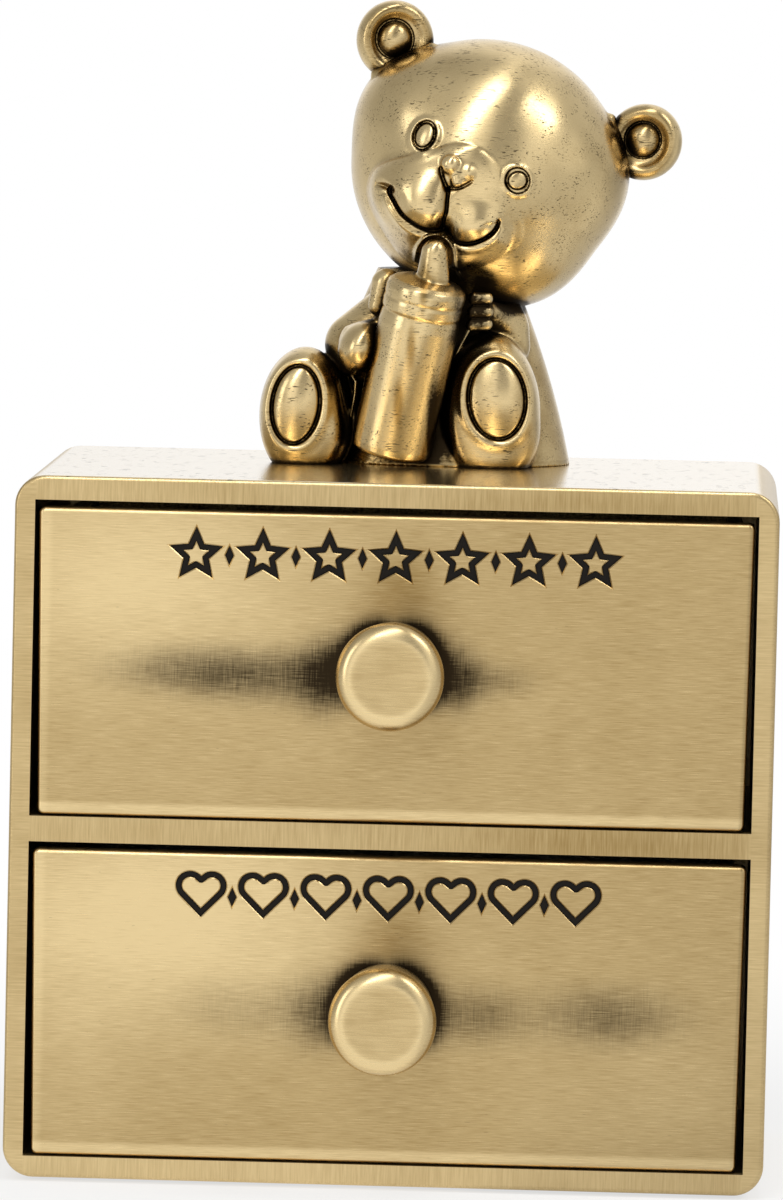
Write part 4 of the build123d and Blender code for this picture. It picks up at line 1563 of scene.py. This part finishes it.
class TOOTHBOX_OT_stage(bpy.types.Operator):
    """Sets the floor, the light and the camera"""

    bl_idname = "toothbox.stage"
    bl_label = "Stage"

    def execute(self, context):
        stage = context.scene.tooth_box_stage
        bpy.ops.mesh.primitive_circle_add(vertices=96, radius=stage.floor_radius, fill_type="NGON")
        floor = context.object
        floor.name = "floor"
        material, tree = new_material("pale_floor")
        path = tree.add("ShaderNodeLightPath").outputs
        diffuse = tree.add("ShaderNodeBsdfDiffuse", {"Color": FLOOR_GREY})
        place = tree.add("ShaderNodeTexCoord").outputs["Object"]
        away = tree.length(place)
        near, far = self.all_round(tree, place, NEAR_FLOOR), self.all_round(tree, place, FAR_FLOOR)
        level = self.between(tree, tree.ramp(away, *NEAR_TO_FAR), near, far)
        level = tree.most(level, path["Is Camera Ray"])
        white = tree.add("ShaderNodeEmission", {"Color": WHITE, "Strength": level})
        share = tree.times(self.seen(tree, path), tree.ramp(away, *SHADE_REACH, 0.68, 1.0))
        mixed = {0: share, 1: diffuse.outputs[0], 2: white.outputs[0]}
        tree.end(tree.add("ShaderNodeMixShader", mixed))
        paint(floor, material)
        self.light(stage)
        self.camera(stage)
        return {"FINISHED"}

    def seen(self, tree, path):
        """1 where the camera, metal or glass looks at the background, and 0 for soft light."""
        return tree.most(path["Is Camera Ray"], path["Is Glossy Ray"], path["Is Transmission Ray"])

    def between(self, tree, share, a, b):
        """From the first value to the second, by a share."""
        return tree.math("MULTIPLY_ADD", share, tree.minus(b, a), a)

    def all_round(self, tree, place, levels):
        """A level by how far round from the camera's side a place lies."""
        x, y, _ = tree.split(place)
        turn = tree.math("ARCTAN2", x, tree.times(y, -1.0))
        share = tree.math("MULTIPLY_ADD", turn, 0.5 / math.pi, 0.5)
        curve = tree.add("ShaderNodeFloatCurve", {"Value": share})
        points = curve.mapping.curves[0].points
        while len(points) < len(levels):
            points.new(0.5, 0.5)
        for point, (degrees, level) in zip(points, levels):
            point.location = (degrees / 360 + 0.5, level)
        curve.mapping.update()
        return curve.outputs[0]

    def light(self, stage):
        """A white surround with a darker camera's side, and soft lamps."""
        world = bpy.data.worlds.new("surround")
        bpy.context.scene.world = world
        world.use_nodes = True
        tree = Tree(world.node_tree)
        path = tree.add("ShaderNodeLightPath").outputs
        turn = (math.radians(BACKWARDS), math.radians(-LEAN), 0)
        place = tree.add("ShaderNodeTexCoord").outputs["Generated"]
        height = tree.split(place)[2]
        leaning = tree.stretch(place, turn=turn)
        above, below = self.all_round(tree, leaning, SURROUND), self.all_round(tree, place, FAR_FLOOR)
        level = self.between(tree, tree.ramp(height, *HORIZON), below, above)
        level = tree.most(level, path["Is Camera Ray"])
        strength = tree.times(level, tree.ramp(self.seen(tree, path), 0.0, 1.0, stage.surround))
        shade = tree.add("ShaderNodeBackground", {"Color": WHITE, "Strength": strength})
        tree.end(shade, "ShaderNodeOutputWorld")
        for name, place, aim, width, height, lean, brightness in LAMPS:
            lamp = bpy.data.lights.new(name, "AREA")
            lamp.shape, lamp.size, lamp.size_y = "RECTANGLE", width, height
            lamp.energy = brightness * math.pi * width * height
            made = in_scene(name, lamp)
            made.location = place
            made.rotation_mode = "QUATERNION"
            aimed = (Vector(aim) - Vector(place)).to_track_quat("-Z", "Y")
            made.rotation_quaternion = aimed @ Quaternion((0, 0, 1), -math.radians(lean))

    def camera(self, stage):
        """The camera, where the one that took the picture stood."""
        yaw, pitch, roll = CAMERA_TURN
        ahead = Vector((math.sin(yaw) * math.cos(pitch), math.cos(yaw) * math.cos(pitch), math.sin(pitch)))
        right = Vector((math.cos(yaw), -math.sin(yaw), 0))
        up = right.cross(ahead)
        across = right * math.cos(roll) + up * math.sin(roll)
        upward = up * math.cos(roll) - right * math.sin(roll)
        camera = bpy.data.cameras.new("camera")
        camera.lens, camera.sensor_width, camera.sensor_fit = stage.lens, 36.0, "AUTO"
        camera.clip_start, camera.clip_end = 0.05, 20
        made = in_scene("camera", camera)
        turn = Matrix((across, upward, -ahead)).transposed().to_4x4()
        made.matrix_world = Matrix.Translation(Vector(CAMERA_PLACE) * MM) @ turn
        bpy.context.scene.camera = made


class TOOTHBOX_PT_panel(bpy.types.Panel):
    """Lists the pieces of the tooth box"""

    bl_label = "Tooth box"
    bl_space_type = "VIEW_3D"
    bl_region_type = "UI"
    bl_category = "Tooth box"

    def draw(self, context):
        for group in GROUPS:
            values = getattr(context.scene, "tooth_box_" + group)
            for name in values.__annotations__:
                self.layout.prop(values, name)
        for operator in OPERATORS:
            self.layout.operator(operator.bl_idname)


GROUPS = {"finish": ToothBoxFinish, "bear": ToothBoxBear, "drawer": ToothBoxDrawer, "stage": ToothBoxStage}
OPERATORS = (
    TOOTHBOX_OT_case,
    TOOTHBOX_OT_fronts,
    TOOTHBOX_OT_fill,
    TOOTHBOX_OT_knobs,
    TOOTHBOX_OT_fabrics,
    TOOTHBOX_OT_screws,
    TOOTHBOX_OT_bear_body,
    TOOTHBOX_OT_bear_head,
    TOOTHBOX_OT_bear_ears,
    TOOTHBOX_OT_bear_bottle,
    TOOTHBOX_OT_stage,
)


def register():
    for made in (*GROUPS.values(), *OPERATORS, TOOTHBOX_PT_panel):
        bpy.utils.register_class(made)
    for name, group in GROUPS.items():
        setattr(bpy.types.Scene, "tooth_box_" + name, bpy.props.PointerProperty(type=group))


def unregister():
    for name in GROUPS:
        delattr(bpy.types.Scene, "tooth_box_" + name)
    for made in reversed((*GROUPS.values(), *OPERATORS, TOOTHBOX_PT_panel)):
        bpy.utils.unregister_class(made)


def main():
    """Builds every piece."""
    register()
    bpy.context.scene.view_settings.view_transform = "Standard"
    for operator in OPERATORS:
        group, name = operator.bl_idname.split(".")
        getattr(getattr(bpy.ops, group), name)()


if __name__ == "__main__":
    main()
